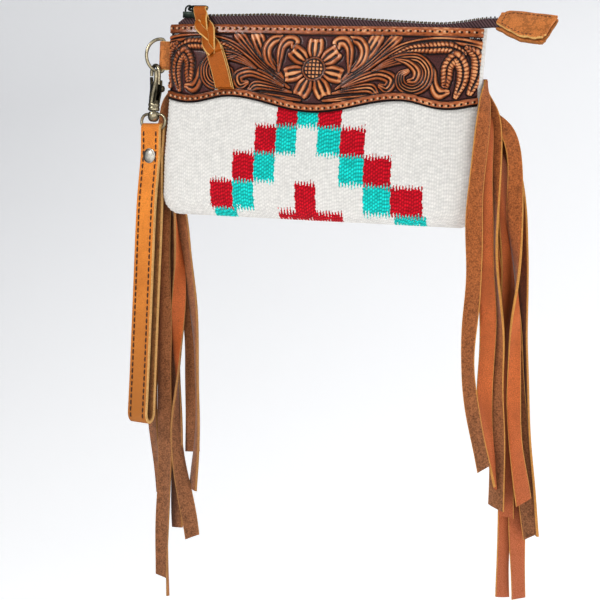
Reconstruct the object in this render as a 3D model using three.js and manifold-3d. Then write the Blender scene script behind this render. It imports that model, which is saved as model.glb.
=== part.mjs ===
// A zip-top wool clutch with a tooled leather yoke, leather fringe in its side seams
// and a wrist strap that hangs from a swivel snap hook.
// Millimetres. +X is to the right as seen from the front, +Y is away from the viewer, +Z is up.
// The origin is on the zip's ridge, at the middle of the pouch's mouth.
import * as THREE from 'three';
import { mergeVertices } from 'three/addons/utils/BufferGeometryUtils.js';
import Module from 'manifold-3d';

const wasm = await Module();
wasm.setup();

// Driving dimensions

// Clearance left between two pieces that touch on the real object.
const GAP = 0.35;
// Facets of round bars and wires, steps of a small round corner, and the distance at which points weld.
const ROUND = { barSides: 20, pinSides: 14, wireSides: 8, cornerSteps: 4, holeSteps: 8, weld: 1e-4 };

// The pouch: two wool half shells that meet at the side and bottom seams.
const POUCH = {
  top: -6.8,
  bottom: -140.2,
  wall: 2.2,
  rollTop: -98,
  cornerRadius: 14,
  squareness: 5,
  seamGap: 0.15,
  columns: 26,
  upperRows: 6,
  rollRows: 6,
};
const POUCH_SECTIONS = [
  { z: -6.8, halfWidth: 112.0, halfDepth: 6.2 },
  { z: -22, halfWidth: 111.4, halfDepth: 10.0 },
  { z: -45, halfWidth: 110.8, halfDepth: 13.2 },
  { z: -72, halfWidth: 111.6, halfDepth: 15.0 },
  { z: -98, halfWidth: 112.8, halfDepth: 15.4 },
];

// The yoke lies on the front panel and ends short of the side seams.
const YOKE = {
  lift: 0.55,
  thickness: 2.4,
  leftEnd: -0.976,
  rightEnd: 0.962,
  middle: -2,
  rows: 5,
  columns: 30,
};
// Its lower edge is one deep scallop in the middle and a shallow one at each side.
const SCALLOP = {
  middleHalf: 60,
  middleLevel: -62.1,
  middleSwing: 4.7,
  sideHalf: 30,
  sideLevel: -59.8,
  sideSwing: 2.4,
};

// The zip: two tapes lean together like a roof and carry the teeth on the ridge.
const ZIP = {
  tape: 0.9,
  left: -107,
  right: 123.5,
  columns: 20,
  tailColumns: 6,
  rows: 2,
  ridgeSpread: 1.2,
  tailSpread: 0.6,
  chainLeft: -96,
  chainRight: 116.5,
  chainHalfWidth: 1.9,
  chainHeight: 1.1,
  toothHeight: 0.7,
  toothPitch: 4.0,
  footDepth: -14,
  footEnd: -6.2,
  footTaperFrom: 90,
  footTaperTo: 103,
};
// Height of the teeth along the mouth, with the sag near the right side.
const RIDGE = [
  { x: -108, z: 0.4 },
  { x: -62, z: 1.4 },
  { x: -36, z: 2.0 },
  { x: 10, z: 0.4 },
  { x: 40, z: -1.0 },
  { x: 80, z: -2.6 },
  { x: 93, z: -1.6 },
  { x: 106, z: 0.5 },
  { x: 124, z: 1.9 },
];
// The zip's tail leans back as it runs into the end tab.
const TAIL = { lean: 33, leanFrom: 104, leanTo: 117, axisZ: -1.5 };

const END_TAB = {
  thickness: 6.2,
  slotHalf: 1.4,
  slotEnd: 126,
  slotTop: 2.2,
  slitHalf: 0.4,
  slitEnd: 146,
  slitTop: -1,
  cutTo: -25,
};
// Outline of the end tab's face, from its upper left corner clockwise.
const END_TAB_OUTLINE = [
  { x: 120.9, z: 3.9 },
  { x: 127.5, z: 5.6 },
  { x: 157.8, z: 1.9 },
  { x: 151.5, z: -13.7 },
  { x: 149.6, z: -16.4 },
  { x: 145.0, z: -17.0 },
  { x: 134.6, z: -15.1 },
  { x: 126.5, z: -10.8 },
  { x: 118.0, z: -4.9 },
];

const SLIDER = {
  left: -103,
  right: -92,
  bottom: -2.2,
  plateBottom: 1.2,
  plateTop: 2.2,
  innerHalf: 2.5,
  outerHalf: 3.9,
};
const BAIL = { left: -103, right: -96.4, top: 8.0, bar: 1.4, halfWidth: 0.7 };
const PULL = {
  left: -100.5,
  right: -82,
  halfHeight: 4.0,
  cornerRadius: 2.6,
  wire: 0.7,
  tilt: 32,
  centreZ: 5.0,
};
const BRAID = { thickness: 2.2, foldX: -90.2, foldHalfWidth: 4.6, foldSteps: 7, foldEnd: 175 };
// The braided strip's middle line and half width below the fold.
const BRAID_LINE = [
  { z: -6.8, x: -85.2, halfWidth: 5.2 },
  { z: -14.5, x: -80.8, halfWidth: 5.6 },
  { z: -28, x: -74.6, halfWidth: 5.8 },
  { z: -40, x: -70.2, halfWidth: 5.9 },
  { z: -52.5, x: -66.4, halfWidth: 5.8 },
];

// The ring's straight bar stands in the fold of the side tab, and its bow turns to the front.
const RING = {
  barX: -117.4,
  middleZ: -28.6,
  halfHeight: 11.6,
  depth: 12.3,
  corner: 2.1,
  wire: 1.15,
  turn: 27,
  barSteps: 3,
  bowSteps: 14,
};
const SIDE_TAB = {
  top: -18.6,
  bottom: -38.6,
  outer: 3.0,
  barClearance: 0.5,
  seamX: -112.3,
  seamHalf: 1.7,
  neckX: -115.4,
  neckHalf: 2.3,
  foldFrom: 55,
  foldSteps: 14,
};

// The snap hook hangs on the bow, at this distance from the bar.
const HOOK = {
  reach: 5.5,
  turn: -36,
  wire: 1.4,
  bend: 4.6,
  bendZ: -40.5,
  limbEnd: -48.6,
  noseEnd: -43.2,
  cheekHalf: 2.5,
  slotHalf: 1.2,
  slotTop: -48.3,
  slotBottom: -60.5,
  slotReach: 12.6,
  bendSteps: 10,
};
// Outline of the hook's two cheeks, in the hook's own plane.
const CHEEK_OUTLINE = [
  { u: -5.4, z: -54.5 },
  { u: -2.0, z: -52.0 },
  { u: 2.6, z: -46.8 },
  { u: 6.2, z: -46.8 },
  { u: 6.4, z: -57.0 },
  { u: 3.9, z: -63.4 },
  { u: -3.9, z: -63.4 },
  { u: -5.4, z: -59.5 },
];
// The gate is a lever: the arm on the left closes the throat, the lug on the right is the trigger.
const GATE = {
  half: 0.85,
  pivotU: -0.8,
  pivotZ: -56.5,
  hole: 1.2,
  pin: 0.8,
  pinHead: 1.5,
  pinHeadHalf: 3.0,
};
const GATE_OUTLINE = [
  { u: -5.9, z: -43.9 },
  { u: -3.6, z: -43.9 },
  { u: -2.4, z: -51.0 },
  { u: 2.2, z: -52.6 },
  { u: 7.2, z: -51.0 },
  { u: 9.6, z: -50.6 },
  { u: 10.6, z: -52.6 },
  { u: 9.4, z: -54.8 },
  { u: 7.0, z: -55.0 },
  { u: 2.6, z: -58.2 },
  { u: -0.8, z: -59.2 },
  { u: -3.8, z: -57.2 },
];
const COLLAR = {
  radius: 4.2,
  top: -62.2,
  bottom: -68.2,
  cavity: 2.8,
  cavityTop: -63.5,
  cavityBottom: -66.4,
  bore: 1.9,
  boreEnd: -69.2,
};
const EYE = {
  stem: 1.5,
  head: 2.4,
  headTop: -63.9,
  headBottom: -66.0,
  top: -70.4,
  bottom: -80.6,
  halfWidth: 8.9,
  wire: 0.9,
  corner: 1.1,
};

// The strap is one closed loop: over the eye's lower bar, down, round the wrist fold and up again.
const STRAP = {
  turn: -15,
  width: 15.0,
  thickness: 2.6,
  rivetZ: -100,
  closedTo: -120,
  closedSteps: 8,
  loopFrom: -135,
  loopTo: -284.5,
  loopSteps: 7,
  bottom: -292.5,
  foldSteps: 8,
};
// Half the distance between the middle lines of the loop's two legs.
const STRAP_SPREAD = [
  { z: -80.6, spread: 2.55 },
  { z: -90, spread: 2.0 },
  { z: -100, spread: 1.6 },
  { z: -112, spread: 2.5 },
  { z: -135, spread: 4.1 },
  { z: -200, spread: 4.2 },
  { z: -260, spread: 4.3 },
  { z: -284, spread: 4.6 },
];
const RIVET = { shank: 1.5, hole: 2.0, cap: 3.6, capHeight: 0.9, clearance: 0.5 };
// The rivet's domed head, from its rim to its top.
const RIVET_DOME = [
  { radius: 0, height: 0 },
  { radius: 4.6, height: 0 },
  { radius: 4.3, height: 0.75 },
  { radius: 3.0, height: 1.45 },
  { radius: 0, height: 1.7 },
];

// Fringe: flat leather strips that hang from a header in each side seam.
const STRIP = {
  width: 9.4,
  thickness: 1.8,
  stations: 18,
  rootShare: 0.26,
  spreadBy: 0.16,
  shoulderDrop: 24,
  shoulderShare: 0.8,
};
const LEFT_HEADER = {
  top: -43,
  bottom: -97,
  inner: 0.35,
  outer: 2.05,
  from: 0.958,
  to: 0.9965,
  rows: 6,
  columns: 3,
};
const RIGHT_HEADER = { top: -40, bottom: -94, inner: 0.4, outer: 3.0, half: 0.9, rows: 5 };
// A row per strip: its root on the header, its depth in Y, its X at even heights from the shoulder
// to the end, the end's height, and its turn about its own length at even steps from the root.
// At a turn of 0 the grain side faces the front, at 180 the suede side does.
const LEFT_STRIPS = [
  { rootZ: -48, depth: 22.4, xs: [-121, -119, -114.5, -111.5, -104.3], endZ: -425,
    turns: [178, 165, 140, 112, 104] },
  { rootZ: -55, depth: 20.6, xs: [-122, -122, -123.5, -122.5, -114.3], endZ: -348,
    turns: [178, 170, 160, 150, 150] },
  { rootZ: -62, depth: 19.0, xs: [-119, -107.5, -97.5, -93.2, -90], endZ: -314,
    turns: [178, 182, 186, 184, 174] },
  { rootZ: -69, depth: 17.0, xs: [-115.5, -112, -107, -102, -97.2], endZ: -371,
    turns: [178, 172, 166, 158, 150] },
  { rootZ: -76, depth: 15.2, xs: [-113.2, -101.5, -91, -84.8, -86.4], endZ: -341,
    turns: [178, 180, 150, 110, 140] },
  { rootZ: -84, depth: 12.8, xs: [-113.8, -104.6, -101.5, -99.6, -85], endZ: -376,
    turns: [170, 140, 15, -120, -165] },
  { rootZ: -92, depth: 10.6, xs: [-116.5, -113, -110.4, -107.8, -106.2], endZ: -407,
    turns: [178, 184, 186, 180, 176] },
];
const RIGHT_STRIPS = [
  { rootZ: -41, depth: -14.0, xs: [114.4, 112.2, 113.8, 115, 128.5], endZ: -300,
    turns: [228, 204, 184, 182, 176] },
  { rootZ: -46, depth: -1.0, xs: [119.3, 123.6, 131.3, 132.8, 136.6], endZ: -328,
    turns: [180, 170, 112, 165, 172] },
  { rootZ: -50, depth: -6.0, xs: [116, 119.5, 123.8, 125.2, 136.3], endZ: -314,
    turns: [60, 34, 18, 24, 98] },
  { rootZ: -56, depth: 2.0, xs: [131.7, 138.3, 141.9, 144.8, 154], endZ: -323,
    turns: [195, 195, 105, 15, 15] },
  { rootZ: -60, depth: 10.0, xs: [123.5, 131, 142.5, 149, 160], endZ: -348,
    turns: [188, 188, 186, 184, 182] },
  { rootZ: -66, depth: 13.0, xs: [131.5, 143.6, 145.8, 153.4, 164.5], endZ: -346,
    turns: [170, 150, 140, 118, 112] },
  { rootZ: -72, depth: 6.0, xs: [125.5, 132.8, 135.4, 139, 142.3], endZ: -335,
    turns: [70, 45, 40, 60, 12] },
  { rootZ: -80, depth: 15.5, xs: [125.5, 135, 141, 147.7, 153.4], endZ: -393,
    turns: [60, 20, 10, 8, 10] },
  { rootZ: -88, depth: 18.5, xs: [122.5, 131.2, 136, 139.6, 143.2], endZ: -394,
    turns: [60, 24, 14, 18, 22] },
];

const FINISH = {
  wool: { color: 0xe6e2d8, roughness: 0.95, metalness: 0 },
  tooled: { color: 0x8c4a26, roughness: 0.55, metalness: 0 },
  tan: { color: 0xc67a2e, roughness: 0.6, metalness: 0 },
  fringe: { color: 0x96562c, roughness: 0.85, metalness: 0 },
  tape: { color: 0x3a2624, roughness: 0.9, metalness: 0 },
  brass: { color: 0x8a7448, roughness: 0.38, metalness: 1 },
  dark: { color: 0x2c3228, roughness: 0.4, metalness: 1 },
  nickel: { color: 0xb9b2a4, roughness: 0.28, metalness: 1 },
};

// Closed solids from points

const vec = (x, y, z) => new THREE.Vector3(x, y, z);
const radians = THREE.MathUtils.degToRad;
const lerp = THREE.MathUtils.lerp;
const ramp = (value, from, to) => THREE.MathUtils.smoothstep(value, from, to);
const range = (count) => Array.from({ length: count }, (_, i) => i);
const steps = (from, to, count) => range(count + 1).map((i) => lerp(from, to, i / count));

// Smooth value of one column of a table, at a position along another column.
function along(table, key, column, at) {
  const last = table.length - 1;
  const sign = Math.sign(table[last][key] - table[0][key]);
  let i = 0;
  while (i < last - 1 && sign * (at - table[i + 1][key]) > 0) i += 1;
  const slope = (k) => {
    const before = table[Math.max(k - 1, 0)];
    const after = table[Math.min(k + 1, last)];
    return (after[column] - before[column]) / (after[key] - before[key]);
  };
  const span = table[i + 1][key] - table[i][key];
  const t = THREE.MathUtils.clamp((at - table[i][key]) / span, 0, 1);
  const rise = t * t * (3 - 2 * t);
  const leave = t * (1 - t) * (1 - t) * span * slope(i);
  const arrive = t * t * (t - 1) * span * slope(i + 1);
  return lerp(table[i][column], table[i + 1][column], rise) + leave + arrive;
}

// A geometry from triangles, turned so that it faces out.
function closed(triangles) {
  const cross = new THREE.Vector3();
  const volume = triangles.reduce((sum, [a, b, c]) => sum + a.dot(cross.crossVectors(b, c)), 0);
  const corners = triangles.flatMap(([a, b, c]) => (volume < 0 ? [a, c, b] : [a, b, c]));
  return new THREE.BufferGeometry().setFromPoints(corners);
}

const quad = (a, b, c, d) => [[a, b, c], [a, c, d]];

// A curved wall between two grids of points, closed along its four edges.
function wall(outer, inner) {
  const rows = outer.length - 1;
  const columns = outer[0].length - 1;
  const faces = [];
  for (const i of range(rows)) {
    for (const j of range(columns)) {
      faces.push(...quad(outer[i][j], outer[i + 1][j], outer[i + 1][j + 1], outer[i][j + 1]));
      faces.push(...quad(inner[i][j], inner[i][j + 1], inner[i + 1][j + 1], inner[i + 1][j]));
    }
    faces.push(...quad(outer[i + 1][0], outer[i][0], inner[i][0], inner[i + 1][0]));
    faces.push(...quad(outer[i][columns], outer[i + 1][columns], inner[i + 1][columns], inner[i][columns]));
  }
  for (const j of range(columns)) {
    faces.push(...quad(outer[0][j], outer[0][j + 1], inner[0][j + 1], inner[0][j]));
    faces.push(...quad(outer[rows][j + 1], outer[rows][j], inner[rows][j], inner[rows][j + 1]));
  }
  return closed(faces);
}

// A skin over a row of sections, joined end to end or capped.
function loft(rings, joined = false) {
  const size = rings[0].length;
  const faces = [];
  for (const k of range(joined ? rings.length : rings.length - 1)) {
    const here = rings[k];
    const next = rings[(k + 1) % rings.length];
    for (const i of range(size)) {
      const after = (i + 1) % size;
      faces.push(...quad(here[i], here[after], next[after], next[i]));
    }
  }
  if (!joined) {
    const first = rings[0];
    const last = rings[rings.length - 1];
    for (const i of range(size - 2)) {
      faces.push([first[0], first[i + 2], first[i + 1]]);
      faces.push([last[0], last[i + 1], last[i + 2]]);
    }
  }
  return closed(faces);
}

// A plane to draw in: a point from its two coordinates, and a direction across it.
function plane(origin, across, up) {
  const normal = across.clone().cross(up).normalize();
  const at = (u, v) => origin.clone().addScaledVector(across, u).addScaledVector(up, v);
  return { origin, across, up, normal, at };
}

// Round wire along a line of points that stays in one plane.
function wire(points, normal, radius, joined) {
  const last = points.length - 1;
  const rings = points.map((point, k) => {
    const before = points[joined ? (k + last) % points.length : Math.max(k - 1, 0)];
    const after = points[joined ? (k + 1) % points.length : Math.min(k + 1, last)];
    const side = after.clone().sub(before).cross(normal).normalize();
    return range(ROUND.wireSides).map((i) => {
      const turn = (2 * Math.PI * i) / ROUND.wireSides;
      return point.clone()
        .addScaledVector(side, radius * Math.cos(turn))
        .addScaledVector(normal, radius * Math.sin(turn));
    });
  });
  return loft(rings, joined);
}

// Points of an arc in a plane, about a centre with two half axes, between two angles in degrees.
function arc(sheet, centre, halfU, halfV, from, to, count) {
  return steps(from, to, count).map((turn) => (
    sheet.at(centre.u + halfU * Math.cos(radians(turn)), centre.v + halfV * Math.sin(radians(turn)))
  ));
}

// A loop with straight sides and round corners, in a plane.
function roundedLoop(sheet, halfU, halfV, corner) {
  const corners = [
    { u: halfU - corner, v: halfV - corner, from: 0 },
    { u: corner - halfU, v: halfV - corner, from: 90 },
    { u: corner - halfU, v: corner - halfV, from: 180 },
    { u: halfU - corner, v: corner - halfV, from: 270 },
  ];
  return corners.flatMap((c) => arc(sheet, c, corner, corner, c.from, c.from + 90, ROUND.cornerSteps));
}

// A flat plate with an outline drawn in a plane, of even thickness about that plane.
function plate(sheet, outline, thickness, holes = []) {
  const shape = new THREE.Shape(outline.map(([u, v]) => new THREE.Vector2(u, v)));
  for (const hole of holes) {
    shape.holes.push(new THREE.Path().absarc(hole.u, hole.v, hole.radius, 0, 2 * Math.PI));
  }
  const geometry = new THREE.ExtrudeGeometry(shape, {
    depth: thickness,
    bevelEnabled: false,
    curveSegments: ROUND.holeSteps,
  });
  geometry.translate(0, 0, -thickness / 2);
  const basis = new THREE.Matrix4().makeBasis(sheet.across, sheet.up, sheet.normal);
  return geometry.applyMatrix4(basis).translate(sheet.origin.x, sheet.origin.y, sheet.origin.z);
}

// An upright round bar between two heights.
function post(x, y, radius, top, bottom) {
  const geometry = new THREE.CylinderGeometry(radius, radius, top - bottom, ROUND.barSides);
  return geometry.rotateX(Math.PI / 2).translate(x, y, (top + bottom) / 2);
}

// A box between two corners.
function block(from, to) {
  const size = to.clone().sub(from);
  const middle = from.clone().add(to).multiplyScalar(0.5);
  return new THREE.BoxGeometry(size.x, size.y, size.z).translate(middle.x, middle.y, middle.z);
}

// Joining and cutting

function toSolid(geometry) {
  const bare = geometry.clone();
  bare.deleteAttribute('normal');
  bare.deleteAttribute('uv');
  const welded = mergeVertices(bare, ROUND.weld);
  return new wasm.Manifold(new wasm.Mesh({
    numProp: 3,
    vertProperties: new Float32Array(welded.attributes.position.array),
    triVerts: new Uint32Array(welded.index.array),
  }));
}

function fromSolid(body) {
  const { vertProperties, triVerts } = body.getMesh();
  const geometry = new THREE.BufferGeometry();
  geometry.setAttribute('position', new THREE.BufferAttribute(vertProperties, 3));
  geometry.setIndex(new THREE.BufferAttribute(triVerts, 1));
  return geometry;
}

const fuse = (geometries) => fromSolid(geometries.map(toSolid).reduce((sum, body) => sum.add(body)));
const cut = (geometry, tools) => (
  fromSolid(tools.map(toSolid).reduce((rest, tool) => rest.subtract(tool), toSolid(geometry)))
);

// Pouch and yoke

// Half width and half depth of the pouch at a height above the roll, moved in by an inset.
function sectionAt(z, inset) {
  return {
    z,
    halfWidth: along(POUCH_SECTIONS, 'z', 'halfWidth', z) - inset,
    halfDepth: along(POUCH_SECTIONS, 'z', 'halfDepth', z) - inset,
  };
}

// The same on the roll, which closes on the bottom seam as a quarter ellipse.
function rollSection(angle, inset) {
  const widest = sectionAt(POUCH.rollTop, inset);
  const height = POUCH.rollTop - POUCH.bottom - inset;
  const z = POUCH.rollTop - height * Math.sin(angle);
  const below = Math.max(POUCH.bottom + POUCH.cornerRadius - z, 0);
  const corner = POUCH.cornerRadius - inset;
  const pulledIn = corner - Math.sqrt(Math.max(corner * corner - below * below, 0));
  return { z, halfWidth: widest.halfWidth - pulledIn, halfDepth: widest.halfDepth * Math.cos(angle) };
}

// How far the wall stands from the seam plane, as a share of the half depth.
const fullness = (share) => Math.sqrt(Math.max(1 - Math.abs(share) ** POUCH.squareness, 0));

// A point of a section at a share of its half width, on the front (-1) or the back (+1).
function onSection(section, share, side) {
  const y = side * (POUCH.seamGap + section.halfDepth * fullness(share));
  return vec(section.halfWidth * share, y, section.z);
}

const onPouch = (share, z, inset, side) => onSection(sectionAt(z, inset), share, side);

function pouchPanel(side) {
  const shares = steps(-1, 1, POUCH.columns).map((t) => Math.sin((t * Math.PI) / 2));
  const heights = steps(POUCH.top, POUCH.rollTop, POUCH.upperRows);
  const angles = steps(0, Math.PI / 2, POUCH.rollRows).slice(1);
  const grid = (inset) => {
    const sections = [
      ...heights.map((z) => sectionAt(z, inset)),
      ...angles.map((angle) => rollSection(angle, inset)),
    ];
    return sections.map((section) => shares.map((share) => onSection(section, share, side)));
  };
  return wall(grid(0), grid(POUCH.wall));
}

// Height of the yoke's scalloped lower edge.
function yokeEdge(x) {
  const out = Math.abs(x - YOKE.middle);
  if (out < SCALLOP.middleHalf) {
    return SCALLOP.middleLevel - SCALLOP.middleSwing * Math.cos((Math.PI * out) / SCALLOP.middleHalf);
  }
  const past = (Math.PI * (out - SCALLOP.middleHalf)) / SCALLOP.sideHalf;
  return SCALLOP.sideLevel + SCALLOP.sideSwing * Math.cos(past);
}

function tooledBand() {
  const shares = steps(Math.asin(YOKE.leftEnd), Math.asin(YOKE.rightEnd), YOKE.columns).map(Math.sin);
  const grid = (inset) => steps(0, 1, YOKE.rows).map((down) => shares.map((share) => {
    const edge = yokeEdge(share * POUCH_SECTIONS[0].halfWidth);
    return onPouch(share, lerp(POUCH.top, edge, down), inset, -1);
  }));
  return wall(grid(-YOKE.lift - YOKE.thickness), grid(-YOKE.lift));
}

// Zip

const ridgeAt = (x) => along(RIDGE, 'x', 'z', x);
const tapeTop = (x) => ridgeAt(x) - ZIP.chainHeight - GAP;

// Leans a point of the zip's tail, or of the end tab, back about the tail's axis.
function leaned(point, lean) {
  const up = point.z - TAIL.axisZ;
  const y = point.y * Math.cos(lean) + up * Math.sin(lean);
  return vec(point.x, y, TAIL.axisZ - point.y * Math.sin(lean) + up * Math.cos(lean));
}

const tailLean = (x) => radians(TAIL.lean) * ramp(x, TAIL.leanFrom, TAIL.leanTo);

// Distance of a tape's middle from the zip's mid plane.
function tapeSpread(x, z) {
  const ridge = lerp(ZIP.ridgeSpread, ZIP.tailSpread, ramp(x, TAIL.leanFrom, TAIL.leanTo));
  const inner = sectionAt(Math.min(z, POUCH.top), POUCH.wall);
  const mouth = inner.halfDepth * fullness(Math.min(Math.abs(x) / inner.halfWidth, 1));
  const foot = Math.max(mouth - GAP - ZIP.tape / 2, ZIP.tailSpread);
  return lerp(foot, ridge, ramp(z, POUCH.top, tapeTop(x)));
}

// Places along the zip, closer together where the tail leans.
const zipPlaces = [
  ...steps(ZIP.left, TAIL.leanFrom, ZIP.columns),
  ...steps(TAIL.leanFrom, TAIL.leanTo, ZIP.tailColumns).slice(1),
  ZIP.right,
];

function zipperTape(side) {
  const grid = (offset) => steps(0, 1, ZIP.rows).map((down) => zipPlaces.map((x) => {
    const foot = lerp(ZIP.footDepth, ZIP.footEnd, ramp(Math.abs(x), ZIP.footTaperFrom, ZIP.footTaperTo));
    const z = lerp(tapeTop(x), foot, down);
    return leaned(vec(x, side * (tapeSpread(x, z) + offset), z), tailLean(x));
  }));
  return wall(grid(ZIP.tape / 2), grid(-ZIP.tape / 2));
}

function zipperChain() {
  const teeth = Math.floor((ZIP.chainRight - ZIP.chainLeft) / ZIP.toothPitch);
  const upper = range(teeth).flatMap((k) => {
    const x = ZIP.chainLeft + k * ZIP.toothPitch;
    const half = ZIP.toothPitch / 2;
    const low = ridgeAt(x) - ZIP.toothHeight;
    return [[x, low], [x, ridgeAt(x)], [x + half, ridgeAt(x + half)], [x + half, low]];
  });
  const end = ZIP.chainLeft + teeth * ZIP.toothPitch;
  const between = zipPlaces.filter((x) => x > ZIP.chainLeft && x < end);
  const lower = [ZIP.chainLeft, ...between, end].map((x) => [x, ridgeAt(x) - ZIP.chainHeight]);
  const outline = [...upper, [end, ridgeAt(end) - ZIP.toothHeight], ...lower.reverse()];
  const chain = plate(plane(vec(0, 0, 0), vec(1, 0, 0), vec(0, 0, 1)), outline, 2 * ZIP.chainHalfWidth);
  const places = chain.getAttribute('position');
  for (const i of range(places.count)) {
    const point = vec(0, 0, 0).fromBufferAttribute(places, i);
    places.setXYZ(i, ...leaned(point, tailLean(point.x)).toArray());
  }
  return chain;
}

function zipperSlider() {
  const cheek = (side) => block(
    vec(SLIDER.left, Math.min(side * SLIDER.innerHalf, side * SLIDER.outerHalf), SLIDER.bottom),
    vec(SLIDER.right, Math.max(side * SLIDER.innerHalf, side * SLIDER.outerHalf), SLIDER.plateTop),
  );
  const top = block(
    vec(SLIDER.left, -SLIDER.outerHalf, SLIDER.plateBottom),
    vec(SLIDER.right, SLIDER.outerHalf, SLIDER.plateTop),
  );
  const low = SLIDER.plateTop - BAIL.bar / 2;
  const shoulder = BAIL.top - BAIL.bar;
  const bail = [
    [BAIL.left, low],
    [BAIL.left, shoulder],
    [BAIL.left + BAIL.bar, BAIL.top],
    [BAIL.right - BAIL.bar, BAIL.top],
    [BAIL.right, shoulder],
    [BAIL.right, low],
    [BAIL.right - BAIL.bar, low],
    [BAIL.right - BAIL.bar, shoulder],
    [BAIL.left + BAIL.bar, shoulder],
    [BAIL.left + BAIL.bar, low],
  ];
  const upright = plane(vec(0, 0, 0), vec(1, 0, 0), vec(0, 0, 1));
  return fuse([top, cheek(-1), cheek(1), plate(upright, bail, 2 * BAIL.halfWidth)]);
}

// The pull's plane: along the zip and up to the back.
const pullPlane = plane(
  vec((PULL.left + PULL.right) / 2, 0, PULL.centreZ),
  vec(1, 0, 0),
  vec(0, Math.cos(radians(PULL.tilt)), Math.sin(radians(PULL.tilt))),
);

function zipperPull() {
  const halfLength = (PULL.right - PULL.left) / 2;
  const halfHeight = PULL.halfHeight - PULL.wire;
  const loop = roundedLoop(pullPlane, halfLength - PULL.wire, halfHeight, PULL.cornerRadius);
  return wire(loop, pullPlane.normal, PULL.wire, true);
}

// The strip folds over the pull's front bar, then hangs on the yoke.
function braidedPull() {
  const bar = pullPlane.at(0, PULL.wire - PULL.halfHeight);
  const fold = PULL.wire + GAP + BRAID.thickness / 2;
  const half = BRAID.thickness / 2;
  const section = (x, halfWidth, y, z, outY, outZ) => [
    vec(x - halfWidth, y + half * outY, z + half * outZ),
    vec(x + halfWidth, y + half * outY, z + half * outZ),
    vec(x + halfWidth, y - half * outY, z - half * outZ),
    vec(x - halfWidth, y - half * outY, z - half * outZ),
  ];
  const folded = steps(BRAID.foldEnd, 0, BRAID.foldSteps).map((turn) => {
    const outY = -Math.cos(radians(turn));
    const outZ = Math.sin(radians(turn));
    return section(BRAID.foldX, BRAID.foldHalfWidth, bar.y + fold * outY, bar.z + fold * outZ, outY, outZ);
  });
  const clear = -(YOKE.lift + YOKE.thickness + GAP + half);
  const hanging = BRAID_LINE.map(({ z, x, halfWidth }) => {
    const share = x / sectionAt(z, clear).halfWidth;
    return section(x, halfWidth, onPouch(share, z, clear, -1).y - 2 * GAP, z, -1, 0);
  });
  return loft([...folded, ...hanging]);
}

function zipperEndTab() {
  const upright = plane(vec(0, 0, 0), vec(1, 0, 0), vec(0, 0, 1));
  const body = plate(upright, END_TAB_OUTLINE.map(({ x, z }) => [x, z]), END_TAB.thickness);
  const slot = block(
    vec(END_TAB_OUTLINE[0].x - END_TAB.thickness, -END_TAB.slotHalf, END_TAB.cutTo),
    vec(END_TAB.slotEnd, END_TAB.slotHalf, END_TAB.slotTop),
  );
  const slit = block(
    vec(END_TAB_OUTLINE[0].x, -END_TAB.slitHalf, END_TAB.cutTo),
    vec(END_TAB.slitEnd, END_TAB.slitHalf, END_TAB.slitTop),
  );
  const tab = cut(body, [slot, slit]);
  return tab
    .translate(0, 0, -TAIL.axisZ)
    .rotateX(-radians(TAIL.lean))
    .translate(0, 0, TAIL.axisZ);
}

// Side tab, ring and snap hook

const horizontal = (degrees) => vec(Math.cos(radians(degrees)), Math.sin(radians(degrees)), 0);
const up = vec(0, 0, 1);
const bow = horizontal(180 + RING.turn);
const swivel = vec(RING.barX, 0, 0).addScaledVector(bow, HOOK.reach);

function sideTab() {
  const flat = plane(vec(0, 0, (SIDE_TAB.top + SIDE_TAB.bottom) / 2), vec(1, 0, 0), vec(0, 1, 0));
  const round = steps(SIDE_TAB.foldFrom, 360 - SIDE_TAB.foldFrom, SIDE_TAB.foldSteps).map((turn) => [
    RING.barX + SIDE_TAB.outer * Math.cos(radians(turn)),
    SIDE_TAB.outer * Math.sin(radians(turn)),
  ]);
  const outline = [
    [SIDE_TAB.seamX, SIDE_TAB.seamHalf],
    [SIDE_TAB.neckX, SIDE_TAB.neckHalf],
    ...round,
    [SIDE_TAB.neckX, -SIDE_TAB.neckHalf],
    [SIDE_TAB.seamX, -SIDE_TAB.seamHalf],
  ];
  const hole = { u: RING.barX, v: 0, radius: RING.wire + SIDE_TAB.barClearance };
  return plate(flat, outline, SIDE_TAB.top - SIDE_TAB.bottom, [hole]);
}

function dRing() {
  const sheet = plane(vec(RING.barX, 0, RING.middleZ), bow, up);
  const straight = RING.halfHeight - RING.corner;
  const bowHalf = RING.depth - RING.corner;
  const corner = (v, from, to) => (
    arc(sheet, { u: RING.corner, v }, RING.corner, RING.corner, from, to, ROUND.cornerSteps)
  );
  const line = [
    ...steps(-straight, straight, RING.barSteps).slice(0, -1).map((z) => sheet.at(0, z)),
    ...corner(straight, 180, 90),
    ...arc(sheet, { u: RING.corner, v: 0 }, bowHalf, RING.halfHeight, 90, -90, RING.bowSteps).slice(1),
    ...corner(-straight, 270, 180).slice(1, -1),
  ];
  return wire(line, sheet.normal, RING.wire, true);
}

const hookPlane = plane(vec(swivel.x, swivel.y, 0), horizontal(HOOK.turn), up);
const hookOutline = (rows) => rows.map(({ u, z }) => [u, z]);

// A round pin across the hook's plane.
function crossPin(u, z, radius, half) {
  const geometry = new THREE.CylinderGeometry(radius, radius, 2 * half, ROUND.pinSides);
  const { across, normal } = hookPlane;
  const basis = new THREE.Matrix4().makeBasis(across, normal, up.clone().negate());
  const at = hookPlane.at(u, z);
  return geometry.applyMatrix4(basis).translate(at.x, at.y, at.z);
}

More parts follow.
